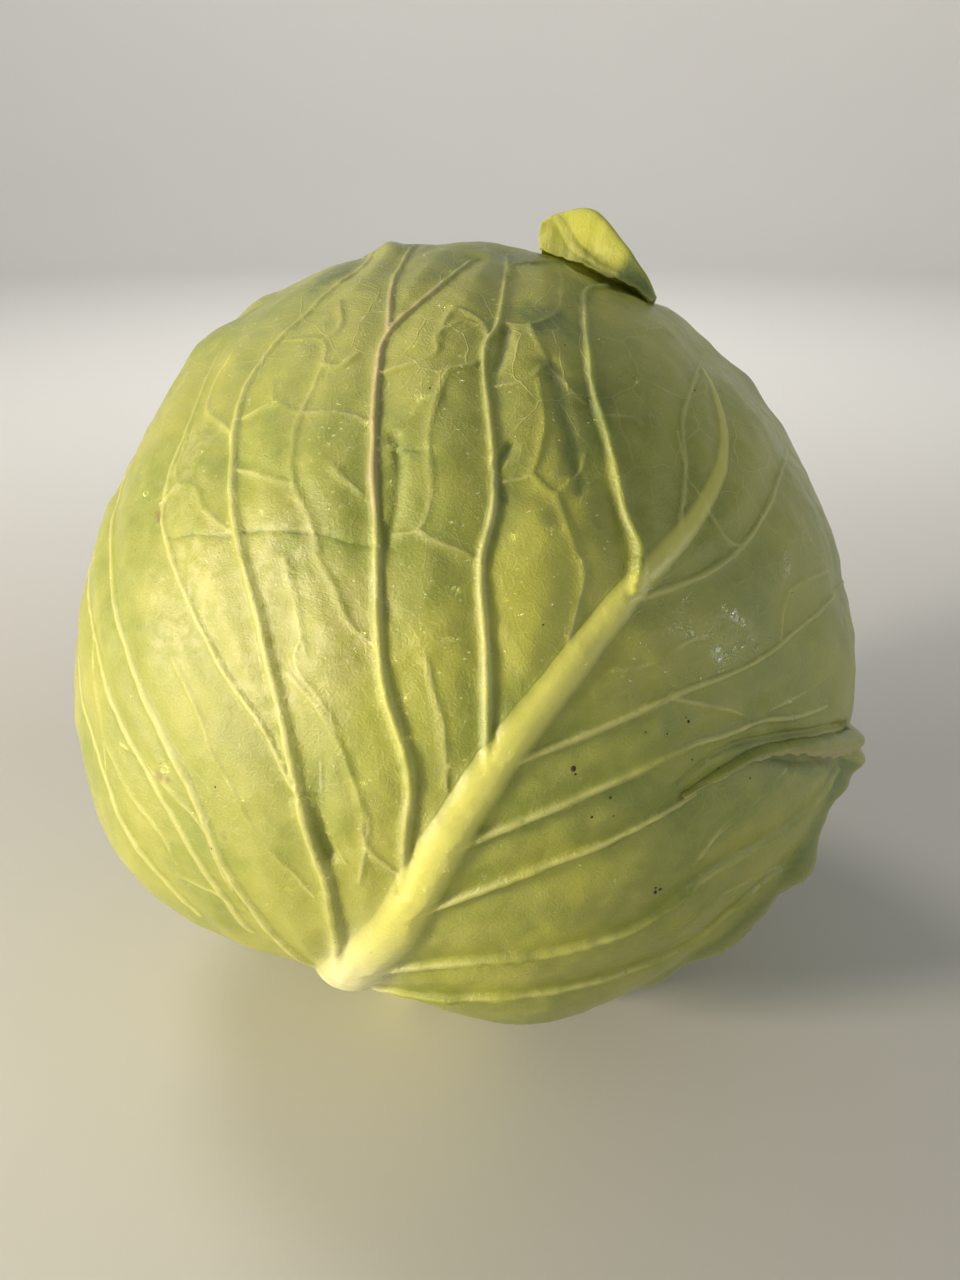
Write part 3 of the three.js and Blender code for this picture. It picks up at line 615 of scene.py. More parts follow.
def lay_blade(leaf, flat, thickness):
    """Outer and inner places of map points on the head, and how free of upper leaves they are."""
    dirs = leaf["map"].to_direction(flat)
    covers = [cover(above, dirs) for above in leaf["above"]]
    depth = LEAF_PITCH * sum(covers, np.zeros(len(flat)))
    free = 1 - np.max(covers, axis=0) if covers else np.ones(len(flat))
    inside = inside_margin(leaf, flat)
    lift = margin_lift(leaf, flat, inside)
    pressed = PRESS_DEPTH * smoothstep(1 - inside / PRESS_WIDTH) * np.clip(1 - lift, 0, 1)
    lift = lift * free - pressed
    blade = MARGIN_THICKNESS + (thickness - MARGIN_THICKNESS) * smoothstep(inside / MARGIN_TAPER)
    outer = dirs * layer_radius(dirs, depth, lift)[:, None]
    inner = dirs * layer_radius(dirs, depth + blade, lift)[:, None]
    return outer, inner, dirs, free, inside


def rim_points(leaf, step):
    """Even points along the margin, with its small crinkles."""
    bearing = np.linspace(-180, 180, 4001)[:-1]
    turn = np.radians(bearing)
    crinkle = 0.35 * np.sin(53 * turn + 2) + 0.3 * np.sin(89 * turn) + 0.2 * np.sin(131 * turn + 1)
    reach = reach_at(leaf, bearing) + crinkle
    loop = np.stack([reach * np.cos(turn), reach * np.sin(turn)], 1)
    lengths = np.linalg.norm(np.diff(np.vstack([loop, loop[:1]]), axis=0), axis=1)
    along = np.concatenate([[0], np.cumsum(lengths)])
    wanted = np.linspace(0, along[-1], round(along[-1] / step) + 1)[:-1]
    return loop[np.searchsorted(along, wanted, side="right") - 1]


RIB_ROWS = {
    "midrib": (0, -0.3, 0.3, -0.6, 0.6, -0.85, 0.85, -1, 1, -1.2, 1.2),
    "side_ribs": (0, -0.28, 0.28, -0.55, 0.55, -0.95, 0.95),
    "thin_veins": (0, -0.8, 0.8),
    "creases": (0, -0.45, 0.45, -0.9, 0.9),
}


def rib_points(leaf, ribs, step, margin_gap):
    """Map points in rows along every rib: on its crest, its flanks and its feet."""
    taken = set()
    points = []
    cell = step * 0.36
    for rank, lines in ribs.items():
        for row in RIB_ROWS[rank]:
            for line, wide, _ in lines:
                tangent = np.gradient(line, axis=0)
                tangent /= np.maximum(np.linalg.norm(tangent, axis=1), 1e-6)[:, None]
                side = np.stack([-tangent[:, 1], tangent[:, 0]], 1)
                places = line + side * (row * wide)[:, None]
                keep = inside_margin(leaf, places) > margin_gap
                for x, y in places[keep]:
                    key = (round(x / cell), round(y / cell))
                    if key not in taken:
                        taken.add(key)
                        points.append((x, y))
    return np.array(points)


def even_filling(leaf, taken, spacing, dense_middle):
    """A staggered filling of map points, clear of those already there."""
    tree = KDTree(len(taken))
    for i, (x, y) in enumerate(taken):
        tree.insert((x, y, 0), i)
    tree.balance()
    count = int(190 / spacing)
    steps = np.arange(-count, count + 1) * spacing
    rows = np.arange(-int(count / 0.87), int(count / 0.87) + 1)
    x = steps[None, :] + np.where(rows % 2 == 0, 0, spacing / 2)[:, None]
    y = np.repeat(rows[:, None] * spacing * 0.87, len(steps), 1)
    flat = np.stack([x.ravel(), y.ravel()], 1)
    reach = np.hypot(flat[:, 0], flat[:, 1])
    flat = flat * (1 - dense_middle + dense_middle * reach / 110)[:, None]
    flat = flat[inside_margin(leaf, flat) > spacing * 0.7]
    far = [tree.find((x, y, 0))[2] > spacing * 0.6 for x, y in flat]
    return flat[np.array(far)]


def triangles_inside(flat, rim_count):
    """Triangles over map points whose first ones are the rim, within the rim."""
    rim = [(i, (i + 1) % rim_count) for i in range(rim_count)]
    _, _, faces, origin, _, _ = delaunay_2d_cdt(
        [Vector(p) for p in flat], rim, [], 0, 1e-5)
    source = np.array([o[0] if o else -1 for o in origin])
    corners = source[np.array([f for f in faces if len(f) == 3])]
    corners = corners[(corners >= 0).all(1)]
    middle = flat[corners].mean(1)
    on_rim = (corners < rim_count).sum(1)
    kept = inside_polygon(flat[:rim_count], middle) | (on_rim < 2)
    return corners[kept]


def inside_polygon(loop, points):
    """Which points lie inside a loop that goes once round its middle."""
    loop_bearing = np.arctan2(loop[:, 1], loop[:, 0])
    order = np.argsort(loop_bearing)
    bearing = np.arctan2(points[:, 1], points[:, 0])
    reach = np.interp(bearing, loop_bearing[order], np.hypot(loop[order, 0], loop[order, 1]),
                      period=2 * math.pi)
    return np.hypot(points[:, 0], points[:, 1]) < reach


def write_mesh(name, points, faces, attributes=None, flat=None):
    """A triangle mesh object from arrays, with point attributes and a UV map in millimetres."""
    mesh = bpy.data.meshes.new(name)
    mesh.vertices.add(len(points))
    mesh.vertices.foreach_set("co", np.asarray(points, np.float32).ravel())
    mesh.loops.add(faces.size)
    mesh.loops.foreach_set("vertex_index", faces.astype(np.int32).ravel())
    mesh.polygons.add(len(faces))
    mesh.polygons.foreach_set("loop_start", np.arange(len(faces), dtype=np.int32) * 3)
    mesh.update(calc_edges=True)
    for key, values in (attributes or {}).items():
        kind = "FLOAT_VECTOR" if values.ndim == 2 else "FLOAT"
        slot = "vector" if values.ndim == 2 else "value"
        attribute = mesh.attributes.new(key, kind, "POINT")
        attribute.data.foreach_set(slot, values.astype(np.float32).ravel())
    if flat is not None:
        layer = mesh.uv_layers.new(name="leaf_map")
        layer.data.foreach_set("uv", flat[faces.ravel()].astype(np.float32).ravel())
    mesh.polygons.foreach_set("use_smooth", np.ones(len(faces), bool))
    piece = bpy.data.objects.new(name, mesh)
    bpy.context.scene.collection.objects.link(piece)
    return piece


def soft_spots(flat, spots):
    """Soft-edged ovals on the map, 0 to 1."""
    total = np.zeros(len(flat))
    wander = 0.25 * np.sin(flat[:, 0] * 0.9 + flat[:, 1] * 0.5) * np.cos(flat[:, 1] * 0.8)
    for (x, y), (wide, high), strength in spots:
        away = np.hypot((flat[:, 0] - x) / wide, (flat[:, 1] - y) / high) + wander
        total = np.maximum(total, strength * smoothstep(1.5 - away))
    return total


def blade_shell(leaf, spacing, thickness, dense_middle):
    """A closed blade as arrays: a fine outer face, a coarse inner face and the margin."""
    rim = rim_points(leaf, spacing * 1.15)
    ribs = leaf_ribs(leaf, spacing * 1.1)
    fixed = np.vstack([rim, rib_points(leaf, ribs, spacing * 1.1, spacing)])
    flat = np.vstack([fixed, even_filling(leaf, fixed, spacing, dense_middle)])
    flat_inner = np.vstack([rim, even_filling(leaf, rim, INNER_SPACING, 0)])
    outer_faces = triangles_inside(flat, len(rim))
    inner_faces = triangles_inside(flat_inner, len(rim))
    outer, _, dirs, free, inside = lay_blade(leaf, flat, thickness)
    _, inner, inner_dirs, inner_free, inner_inside = lay_blade(leaf, flat_inner, thickness)
    shift = len(flat)
    n = len(rim)
    this, following = np.arange(n), (np.arange(n) + 1) % n
    wall = np.vstack([
        np.stack([this, following + shift, following], 1),
        np.stack([this, this + shift, following + shift], 1),
    ])
    faces = np.vstack([outer_faces, inner_faces[:, ::-1] + shift, wall])
    both = np.vstack([flat, flat_inner])
    patches = 0.5 + 0.5 * np.sin(both[:, 0] * 0.11 + 1) * np.sin(both[:, 1] * 0.09)
    attributes = {
        "net": 0.12 + 0.88 * smoothstep((both[:, 1] - 22) / 34) * (0.5 + 0.5 * patches),
        "out": np.vstack([dirs, inner_dirs]) @ HEAD_TURN.T,
        "outside": np.concatenate([np.ones(len(flat)), np.zeros(len(flat_inner))]),
        "free": np.concatenate([free, inner_free]),
        "inside": np.concatenate([inside, inner_inside]),
    }
    return np.vstack([outer, inner]), faces, attributes, both, ribs


def sheet_places(rails, steps_u, steps_v, flutter):
    """Points on the curled sheet through some rails, with their place on the front leaf's map."""
    rails = [smooth_route(rail, 0.25) for rail in rails]
    u = np.linspace(0, 1, steps_u + 1)
    v = np.linspace(0, 1, steps_v + 1)
    rows = []
    for rail in rails:
        t = u * (len(rail) - 1)
        i = np.minimum(t.astype(int), len(rail) - 2)
        rows.append(rail[i] + (rail[i + 1] - rail[i]) * (t - i)[:, None])
    last = len(rows) - 1
    sheet = np.zeros((len(u), len(v), 3))
    for k, at in enumerate(v * last):
        i = min(int(at), last - 1)
        around = [rows[min(max(n, 0), last)] for n in (i - 1, i, i + 1, i + 2)]
        sheet[:, k] = blend(*around, at - i)
    waves, height = flutter
    crinkle = np.sin(u * waves + 1) + 0.6 * np.sin(u * waves * 2.3) + 0.4 * np.sin(u * waves * 4.1)
    sheet[:, :, 2] += height * crinkle[:, None] * (v ** 2.5)[None, :]
    sheet[:, :, 1] += height * np.cos(u * waves * 1.7)[:, None] * (v ** 2.5)[None, :]
    flat = sheet[:, :, :2].reshape(-1, 2)
    dirs = LEAVES["front_leaf"]["map"].to_direction(flat)
    places = dirs * layer_radius(dirs, 0, sheet[:, :, 2].ravel())[:, None]
    return places.reshape(len(u), len(v), 3), flat, u, v


def sheet_shell(rails, steps, flutter, rib_route):
    """A curled part of the front leaf as a closed sheet in arrays, with the line of its rib."""
    places, flat, u, v = sheet_places(rails, *steps, flutter)
    across = np.gradient(places, axis=0)
    over = np.gradient(places, axis=1)
    normal = np.cross(over, across)
    normal /= np.linalg.norm(normal, axis=2)[:, :, None]
    edge = np.minimum.outer(np.minimum(u, 1 - u) * 30, (1 - v) * 12)
    half = 0.5 * (0.35 + (SHEET_THICKNESS - 0.35) * smoothstep(edge / 3))[:, :, None]
    points = np.concatenate([(places + normal * half).reshape(-1, 3),
                             (places - normal * half).reshape(-1, 3)])
    rows, columns = len(u), len(v)
    index = np.arange(rows * columns).reshape(rows, columns)
    a, b, c, d = index[:-1, :-1], index[1:, :-1], index[1:, 1:], index[:-1, 1:]
    top = np.vstack([np.stack([a, c, b], -1).reshape(-1, 3), np.stack([a, d, c], -1).reshape(-1, 3)])
    loop = np.concatenate([index[:, 0], index[-1, 1:], index[-2::-1, -1], index[0, -2:0:-1]])
    after = np.roll(loop, -1)
    shift = rows * columns
    wall = np.vstack([np.stack([loop, after, loop + shift], 1),
                      np.stack([after, after + shift, loop + shift], 1)])
    attributes = {
        "out": np.vstack([normal.reshape(-1, 3)] * 2) @ HEAD_TURN.T,
        "outside": np.repeat([1.0, 0.0], shift),
        "free": np.ones(2 * shift),
        "net": np.full(2 * shift, 0.2),
        "inside": np.concatenate([edge.ravel()] * 2),
        "u": np.tile(np.repeat(u, columns), 2),
        "v": np.tile(np.tile(v, rows), 2),
    }
    route = smooth_route(rib_route, 0.01)
    i = np.rint(route[:, 0] * (rows - 1)).astype(int)
    k = np.rint(route[:, 1] * (columns - 1)).astype(int)
    rib = places[i, k] + normal[i, k] * half[i, k]
    faces = np.vstack([top, top[:, ::-1] + shift, wall])
    return points, faces, attributes, np.vstack([flat, flat]), rib


def flap_shell():
    """The curled flap, with painted light at its left and painted shade in its mouth at the right.
    """
    points, faces, attributes, flat, rib = sheet_shell(FLAP_RAILS, FLAP_STEPS, (17, 0.2), FLAP_RIB)
    u, v = attributes.pop("u"), attributes.pop("v")
    # Painted shade in the flap's mouth, painted light on the rest
    mouth_shade = smoothstep((u - 0.66) / 0.07) * (0.45 + 0.5 * smoothstep((v - 0.42) / 0.1))
    attributes["shade"], attributes["lit"] = mouth_shade, 0.85 * (1 - mouth_shade)
    attributes["tinge"] = attributes["dry"] = 0 * u
    size = len(rib)
    return points, faces, attributes, flat, (rib, np.linspace(1.6, 2.2, size),
                                             np.linspace(0.5, 1.0, size))


def pleat_shell():
    """The crinkled pleat over the fold, with painted shade near its root."""
    rails = np.array(PLEAT_RAILS)
    rails[:, :, :2] = rails[0, :, :2] + PLEAT_REACH * (rails[:, :, :2] - rails[0, :, :2])
    points, faces, attributes, flat, rib = sheet_shell(
        rails, PLEAT_STEPS, (46, 0.22), [(0.03, 0.9), (0.5, 0.9), (0.97, 0.9)])
    u, v = attributes.pop("u"), attributes.pop("v")
    # Painted shade near the pleat's root
    attributes["shade"] = 0.8 * smoothstep(1 - v / 0.3)
    attributes["lit"] = attributes["tinge"] = 0 * u
    attributes["dry"] = 0.6 * smoothstep((v - 0.45) / 0.3)
    size = len(rib)
    return points, faces, attributes, flat, (rib, np.full(size, 0.9), np.linspace(0.3, 0.5, size))


def guide_mesh(name, lines):
    """Lines of edges that carry half widths and heights, for raising ribs on a blade."""
    points, edges, wide, high = [], [], [], []
    for line, half_widths, heights in lines:
        start = len(points)
        points += list(line)
        edges += [(start + i, start + i + 1) for i in range(len(line) - 1)]
        wide += list(half_widths * MM)
        high += list(heights * MM)
    mesh = bpy.data.meshes.new(name)
    mesh.from_pydata([tuple(p) for p in points], edges, [])
    for key, values in (("half_width", wide), ("height", high)):
        mesh.attributes.new(key, "FLOAT", "POINT").data.foreach_set("value", values)
    guide = bpy.data.objects.new(name, mesh)
    bpy.context.scene.collection.objects.link(guide)
    return guide


class Tree:
    """Adds nodes to a node tree and links them."""

    def __init__(self, tree):
        self.tree = tree

    def node(self, kind, inputs=None, **settings):
        node = self.tree.nodes.new(kind)
        for key, value in settings.items():
            setattr(node, key, value)
        for key, value in (inputs or {}).items():
            self.feed(node.inputs[key], value)
        return node

    def feed(self, socket, value):
        if isinstance(value, bpy.types.NodeSocket):
            self.tree.links.new(value, socket)
        else:
            socket.default_value = value

    def math(self, operation, *values, clamp=False):
        node = self.node("ShaderNodeMath", operation=operation, use_clamp=clamp)
        for socket, value in zip(node.inputs, values):
            self.feed(socket, value)
        return node.outputs[0]


def input_socket(tree, name, kind, default=None):
    socket = tree.interface.new_socket(name, in_out="INPUT", socket_type=kind)
    if default is not None:
        socket.default_value = default
    return socket


def raise_ribs_tree():
    """Geometry nodes that raise ribs, thin veins, pillows and crumples out of a smooth blade."""
    tree = bpy.data.node_groups.new("raise_ribs", "GeometryNodeTree")
    input_socket(tree, "Geometry", "NodeSocketGeometry")
    for name in RIDGES:
        input_socket(tree, name, "NodeSocketObject")
    input_socket(tree, "Covered rib height", "NodeSocketFloat", COVERED_RIB_HEIGHT * MM)
    input_socket(tree, "Rib rise", "NodeSocketFloat", 1.25)
    input_socket(tree, "Pillow height", "NodeSocketFloat", 0.001)
    input_socket(tree, "Pillow width", "NodeSocketFloat", 0.01)
    input_socket(tree, "Small pillow height", "NodeSocketFloat", 0.0004)
    input_socket(tree, "Crumple height", "NodeSocketFloat", 0.001)
    input_socket(tree, "Crumple scale", "NodeSocketFloat", 55.0)
    input_socket(tree, "Ripple height", "NodeSocketFloat", 0.0007)
    input_socket(tree, "Ripple scale", "NodeSocketFloat", 170.0)
    input_socket(tree, "Material", "NodeSocketMaterial")
    tree.interface.new_socket("Geometry", in_out="OUTPUT", socket_type="NodeSocketGeometry")
    build = Tree(tree)
    given = build.node("NodeGroupInput").outputs
    named = lambda key, kind="FLOAT": build.node(
        "GeometryNodeInputNamedAttribute", {"Name": key}, data_type=kind).outputs["Attribute"]
    position = build.node("GeometryNodeInputPosition").outputs[0]

    def ridge(kind):
        """A rounded crest with hollow flanks: its height, its mask from 0 to 1, and how far off."""
        core, skirt, core_share, bluntness = RIDGES[kind]
        lines = build.node("GeometryNodeObjectInfo", {"Object": given[kind]}).outputs["Geometry"]
        near = build.node("GeometryNodeProximity", {"Geometry": lines, "Sample Position": position},
                          target_element="EDGES")
        index = build.node("GeometryNodeSampleNearest",
                           {"Geometry": lines, "Sample Position": near.outputs["Position"]})
        width, height = (
            build.node("GeometryNodeSampleIndex", {
                "Geometry": lines, "Value": named(key), "Index": index.outputs["Index"],
            }).outputs["Value"]
            for key in ("half_width", "height")
        )
        share = build.math("DIVIDE", near.outputs["Distance"], width)

        def fall(reach, square, power):
            part = build.math("DIVIDE", share, reach)
            if square:
                part = build.math("MULTIPLY", part, part)
            return build.math("POWER", build.math("SUBTRACT", 1.0, part, clamp=True), power)

        crest = build.math("MULTIPLY", fall(core, True, bluntness), core_share)
        flank = build.math("MULTIPLY", fall(skirt, False, 2.0), 1 - core_share)
        mask = build.math("ADD", crest, flank)
        return build.math("MULTIPLY", mask, height), mask, near.outputs["Distance"]

    mid_rise, mid_mask, mid_away = ridge("Midrib")
    side_rise, side_mask, side_away = ridge("Side ribs")
    thin_rise, thin_mask, thin_away = ridge("Thin veins")
    sink, sink_mask, _ = ridge("Creases")
    rise = build.math("SMOOTH_MAX", mid_rise, side_rise, JOINT_WIDTH)
    rise = build.math("MAXIMUM", build.math("SUBTRACT", rise, JOINT_RISE), thin_rise)
    free = named("free")
    low = build.math("MINIMUM", rise, given["Covered rib height"])
    rise = build.math("MULTIPLY", rise, given["Rib rise"])
    span = build.math("SUBTRACT", rise, low)
    shown_rise = build.math("ADD", low, build.math("MULTIPLY", span, free))

    rib_away = build.math("MINIMUM", mid_away, side_away)
    field = build.math("DIVIDE", rib_away, given["Pillow width"], clamp=True)
    bulge = build.math("SUBTRACT", build.math("MULTIPLY", field, 2.0),
                       build.math("MULTIPLY", field, field))
    cell = build.math("DIVIDE", thin_away, build.math("MULTIPLY", given["Pillow width"], 0.4),
                      clamp=True)
    dimple = build.math("MULTIPLY", build.math("MULTIPLY", cell, field),
                        given["Small pillow height"])
    pillow = build.math("ADD", build.math("MULTIPLY", bulge, given["Pillow height"]), dimple)
    noise = build.node("ShaderNodeTexNoise", {
        "Vector": position, "Scale": given["Crumple scale"], "Detail": 2.0, "Roughness": 0.45})
    wave = build.math("SUBTRACT", noise.outputs[0], 0.5)
    crumple = build.math("MULTIPLY", wave, build.math("MULTIPLY", given["Crumple height"], 2.0))
    small = build.node("ShaderNodeTexNoise", {
        "Vector": position, "Scale": given["Ripple scale"], "Detail": 1.0})
    ripple = build.math("MULTIPLY", build.math("SUBTRACT", small.outputs[0], 0.5),
                        given["Ripple height"])
    soft = build.math("ADD", build.math("ADD", pillow, crumple), ripple)
    soft = build.math("SUBTRACT", soft, build.math("ADD", sink, build.math(
        "MULTIPLY", given["Pillow height"], 0.9)))
    raised = build.math("ADD", shown_rise, build.math("MULTIPLY", soft, free))
    raised = build.math("MULTIPLY", raised, named("outside"))
    offset = build.node("ShaderNodeVectorMath", operation="SCALE")
    build.feed(offset.inputs[0], named("out", "FLOAT_VECTOR"))
    build.feed(offset.inputs["Scale"], raised)
    moved = build.node("GeometryNodeSetPosition", {
        "Geometry": given["Geometry"], "Offset": offset.outputs[0]}).outputs[0]
    for key, value in (("rib", side_mask), ("midrib", mid_mask), ("thin", thin_mask),
                       ("crease", sink_mask), ("rib_away", rib_away)):
        moved = build.node("GeometryNodeStoreNamedAttribute", {
            "Geometry": moved, "Name": key, "Value": value}, data_type="FLOAT",
            domain="POINT").outputs["Geometry"]
    real = build.node("GeometryNodeRealizeInstances", {"Geometry": moved}).outputs[0]
    done = build.node("GeometryNodeSetMaterial", {
        "Geometry": real, "Material": given["Material"]}).outputs[0]
    build.node("NodeGroupOutput", {"Geometry": done})
    return tree


def scatter_tree(name, wide_share, detail):
    """Geometry nodes that set small rounded bodies on points, each along its outward direction."""
    tree = bpy.data.node_groups.new(name, "GeometryNodeTree")
    input_socket(tree, "Geometry", "NodeSocketGeometry")
    input_socket(tree, "Flatness", "NodeSocketFloat", 0.5)
    input_socket(tree, "Seed", "NodeSocketInt", 7)
    input_socket(tree, "Material", "NodeSocketMaterial")
    tree.interface.new_socket("Geometry", in_out="OUTPUT", socket_type="NodeSocketGeometry")
    build = Tree(tree)
    given = build.node("NodeGroupInput").outputs
    ball = build.node("GeometryNodeMeshIcoSphere", {"Radius": 1.0, "Subdivisions": detail})
    smooth = build.node("GeometryNodeSetShadeSmooth", {"Geometry": ball.outputs[0]}).outputs[0]
    size = build.node("GeometryNodeInputNamedAttribute", {"Name": "size"}, data_type="FLOAT")
    out = build.node("GeometryNodeInputNamedAttribute", {"Name": "out"}, data_type="FLOAT_VECTOR")
    upright = build.node("FunctionNodeAlignRotationToVector", {
        "Vector": out.outputs["Attribute"]}, axis="Z")
    spin = build.node("FunctionNodeRandomValue", {"Seed": given["Seed"]}, data_type="FLOAT")
    spin.inputs[3].default_value = 2 * math.pi
    about = build.node("FunctionNodeAxisAngleToRotation", {"Angle": spin.outputs[1]})
    turned = build.node("FunctionNodeRotateRotation", {
        "Rotation": upright.outputs[0], "Rotate By": about.outputs[0]}, rotation_space="LOCAL")
    stretch = build.node("FunctionNodeRandomValue", {"Seed": given["Seed"]}, data_type="FLOAT")
    stretch.inputs[2].default_value = wide_share
    stretch.inputs[3].default_value = 1.0
    shape = build.node("ShaderNodeCombineXYZ", {
        "X": 1.0, "Y": stretch.outputs[1], "Z": given["Flatness"]}).outputs[0]
    scale = build.node("ShaderNodeVectorMath", operation="SCALE")
    build.feed(scale.inputs[0], shape)
    build.feed(scale.inputs["Scale"], size.outputs["Attribute"])
    placed = build.node("GeometryNodeInstanceOnPoints", {
        "Points": given["Geometry"], "Instance": smooth, "Rotation": turned.outputs[0],
        "Scale": scale.outputs[0]}).outputs[0]
    real = build.node("GeometryNodeRealizeInstances", {"Geometry": placed}).outputs[0]
    done = build.node("GeometryNodeSetMaterial", {
        "Geometry": real, "Material": given["Material"]}).outputs[0]
    build.node("NodeGroupOutput", {"Geometry": done})
    return tree


def run_tree(piece, tree, values):
    """The piece's mesh after a geometry nodes tree, with the tree's modifier gone."""
    modifier = piece.modifiers.new(tree.name, "NODES")
    modifier.node_group = tree
    for item in tree.interface.items_tree:
        if item.in_out == "INPUT" and item.name in values:
            modifier[item.identifier] = values[item.name]
    bpy.context.view_layer.update()
    depsgraph = bpy.context.evaluated_depsgraph_get()
    mesh = bpy.data.meshes.new_from_object(
        piece.evaluated_get(depsgraph), preserve_all_data_layers=True, depsgraph=depsgraph)
    piece.modifiers.remove(modifier)
    old = piece.data
    piece.data = mesh
    bpy.data.meshes.remove(old)
    mesh.name = piece.name
    return piece


def press_on_floor(piece):
    """Nothing reaches below the surface that the head rests on."""
    count = len(piece.data.vertices)
    places = np.zeros(count * 3, np.float32)
    piece.data.vertices.foreach_get("co", places)
    places[2::3] = np.maximum(places[2::3], 0)
    piece.data.vertices.foreach_set("co", places)
    piece.data.update()


def finish_piece(piece, slot, *nodes):
    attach(piece, "root")
    if nodes:
        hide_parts(*nodes)


def mix_colour(build, factor, a, b, blend_type="MIX"):
    node = build.node("ShaderNodeMix", data_type="RGBA", blend_type=blend_type)
    build.feed(node.inputs[0], factor)
    build.feed(node.inputs[6], a)
    build.feed(node.inputs[7], b)
    return node.outputs[2]


def ramp(build, value, low, high, to_low=0.0, to_high=1.0):
    node = build.node("ShaderNodeMapRange", {
        "Value": value, "From Min": low, "From Max": high, "To Min": to_low, "To Max": to_high},
        interpolation_type="SMOOTHSTEP")
    return node.outputs[0]


def new_material(name):
    material = bpy.data.materials.new(name)
    material.use_nodes = True
    material.node_tree.nodes.clear()
    build = Tree(material.node_tree)
    shader = build.node("ShaderNodeBsdfPrincipled")
    output = build.node("ShaderNodeOutputMaterial")
    material.node_tree.links.new(shader.outputs[0], output.inputs["Surface"])
    return material, build, shader


def leaf_material(name, blade, deep, pale, rib, base_rib):
    """Waxy leaf: mottled greens, pale ribs and nets, fine grain, wet and bruised places, with
    painted light, shade and sheen.
    """
    material, build, shader = new_material(name)
    attribute = lambda key: build.node(
        "ShaderNodeAttribute", attribute_name=key).outputs["Fac"]
    flat = build.node("ShaderNodeUVMap", uv_map="leaf_map").outputs[0]

    def noise(scale, detail=3.0, rough=0.55):
        return build.node("ShaderNodeTexNoise", {
            "Vector": flat, "Scale": scale, "Detail": detail, "Roughness": rough}).outputs[0]

    wander = build.node("ShaderNodeTexNoise", {"Vector": flat, "Scale": 0.11, "Detail": 2.0})
    shifted = build.node("ShaderNodeVectorMath", operation="MULTIPLY_ADD")
    build.feed(shifted.inputs[0], wander.outputs["Color"])
    build.feed(shifted.inputs[1], (5.0, 5.0, 0.0))
    build.feed(shifted.inputs[2], flat)

    def net(scale, low, high):
        cells = build.node("ShaderNodeTexVoronoi", {
            "Vector": shifted.outputs[0], "Scale": scale, "Randomness": 1.0},
            feature="DISTANCE_TO_EDGE", voronoi_dimensions="2D")
        return ramp(build, cells.outputs["Distance"], low, high, 1.0, 0.0)

    shown_net = attribute("net")
    midrib = attribute("midrib")
    rib_mask = attribute("rib")
    thin = attribute("thin")
    plain = build.math("SUBTRACT", 1.0, ramp(build, midrib, 0.02, 0.2))
    shown_net = build.math("MULTIPLY", shown_net, plain)
    wide_net = build.math("MULTIPLY", net(0.085, 0.0, 0.022), shown_net)
    fine_net = build.math("MULTIPLY", net(0.30, 0.0, 0.09), plain)
    mottle = ramp(build, noise(0.028, 4.0), 0.36, 0.66)
    patchy = ramp(build, noise(0.16, 5.0, 0.6), 0.35, 0.7)
    grain = noise(2.2, 3.0, 0.7)
    glitter = noise(1.3, 2.0, 0.7)
    # Waxy bloom: smoother wax, with a painted sheen and painted glints in its colour
    bloom = build.math("MULTIPLY", attribute("bloom"), ramp(build, noise(0.3, 4.0, 0.65), 0.38, 0.6))
    colour = mix_colour(build, mottle, blade, deep)
    colour = mix_colour(build, build.math("MULTIPLY", patchy, 0.35), colour, pale)
    # Painted shade: the blade darker in the grooves beside the ribs, and below in the creases, the
    # hollows and the flap's mouth; painted light on the lit panels
    groove_shade = ramp(build, attribute("rib_away"), 0.0, 0.007, 1.0, 0.0)
    colour = mix_colour(build, build.math("MULTIPLY", groove_shade, 0.25), colour, deep)
    shaded = tuple(c * f for c, f in zip(deep[:3], (0.5, 0.62, 0.8))) + (1,)
    colour = mix_colour(build, attribute("lit"), colour, SUNLIT_BLADE)
    colour = mix_colour(build, attribute("shade"), colour, shaded)
    colour = mix_colour(build, build.math("MULTIPLY", attribute("crease"), 0.6), colour, shaded)
    colour = mix_colour(build, build.math("MULTIPLY", wide_net, 0.35), colour, rib)
    colour = mix_colour(build, build.math("MULTIPLY", fine_net, 0.05), colour, rib)
    towards_tip = build.node("ShaderNodeSeparateXYZ", {"Vector": flat}).outputs["Y"]
    fading = ramp(build, towards_tip, -10.0, 75.0, 1.0, 0.5)
    warm = (rib[0] * 1.08, rib[1] * 1.08, rib[2] * 0.6, 1)
    for mask, low, share, tone in (
            (thin, 0.1, 0.45, rib), (rib_mask, 0.15, 0.5, rib), (midrib, 0.05, 0.95, warm)):
        shown = build.math("MULTIPLY", build.math("MULTIPLY", ramp(build, mask, low, 0.85), share),
                           fading)
        colour = mix_colour(build, shown, colour, tone)
    colour = mix_colour(build, attribute("base"), colour, base_rib)
    tinge = build.math("MULTIPLY", attribute("tinge"), ramp(build, rib_mask, 0.05, 0.5))
    colour = mix_colour(build, tinge, colour, PINK_TINGE)
    colour = mix_colour(build, attribute("dry"), colour, DRY_RIM)
    edge = ramp(build, attribute("inside"), 0.0, 5.0, 0.35, 0.0)
    colour = mix_colour(build, edge, colour, pale)
    # Pale wax flecks all over, and more of them as painted glints in the blooms
    fleck = ramp(build, grain, 0.60, 0.76)
    flecks_and_glints = build.math("MULTIPLY", fleck, build.math("ADD", 0.2, build.math(
        "MULTIPLY", bloom, 0.5)))
    colour = mix_colour(build, build.math("MULTIPLY", bloom, 0.3), colour, PAINTED_SHEEN)
    colour = mix_colour(build, flecks_and_glints, colour, WAX_FLECK_AND_GLINT)
    colour = mix_colour(build, attribute("blemish"), colour, BRUISE)
    build.feed(shader.inputs["Base Color"], colour)

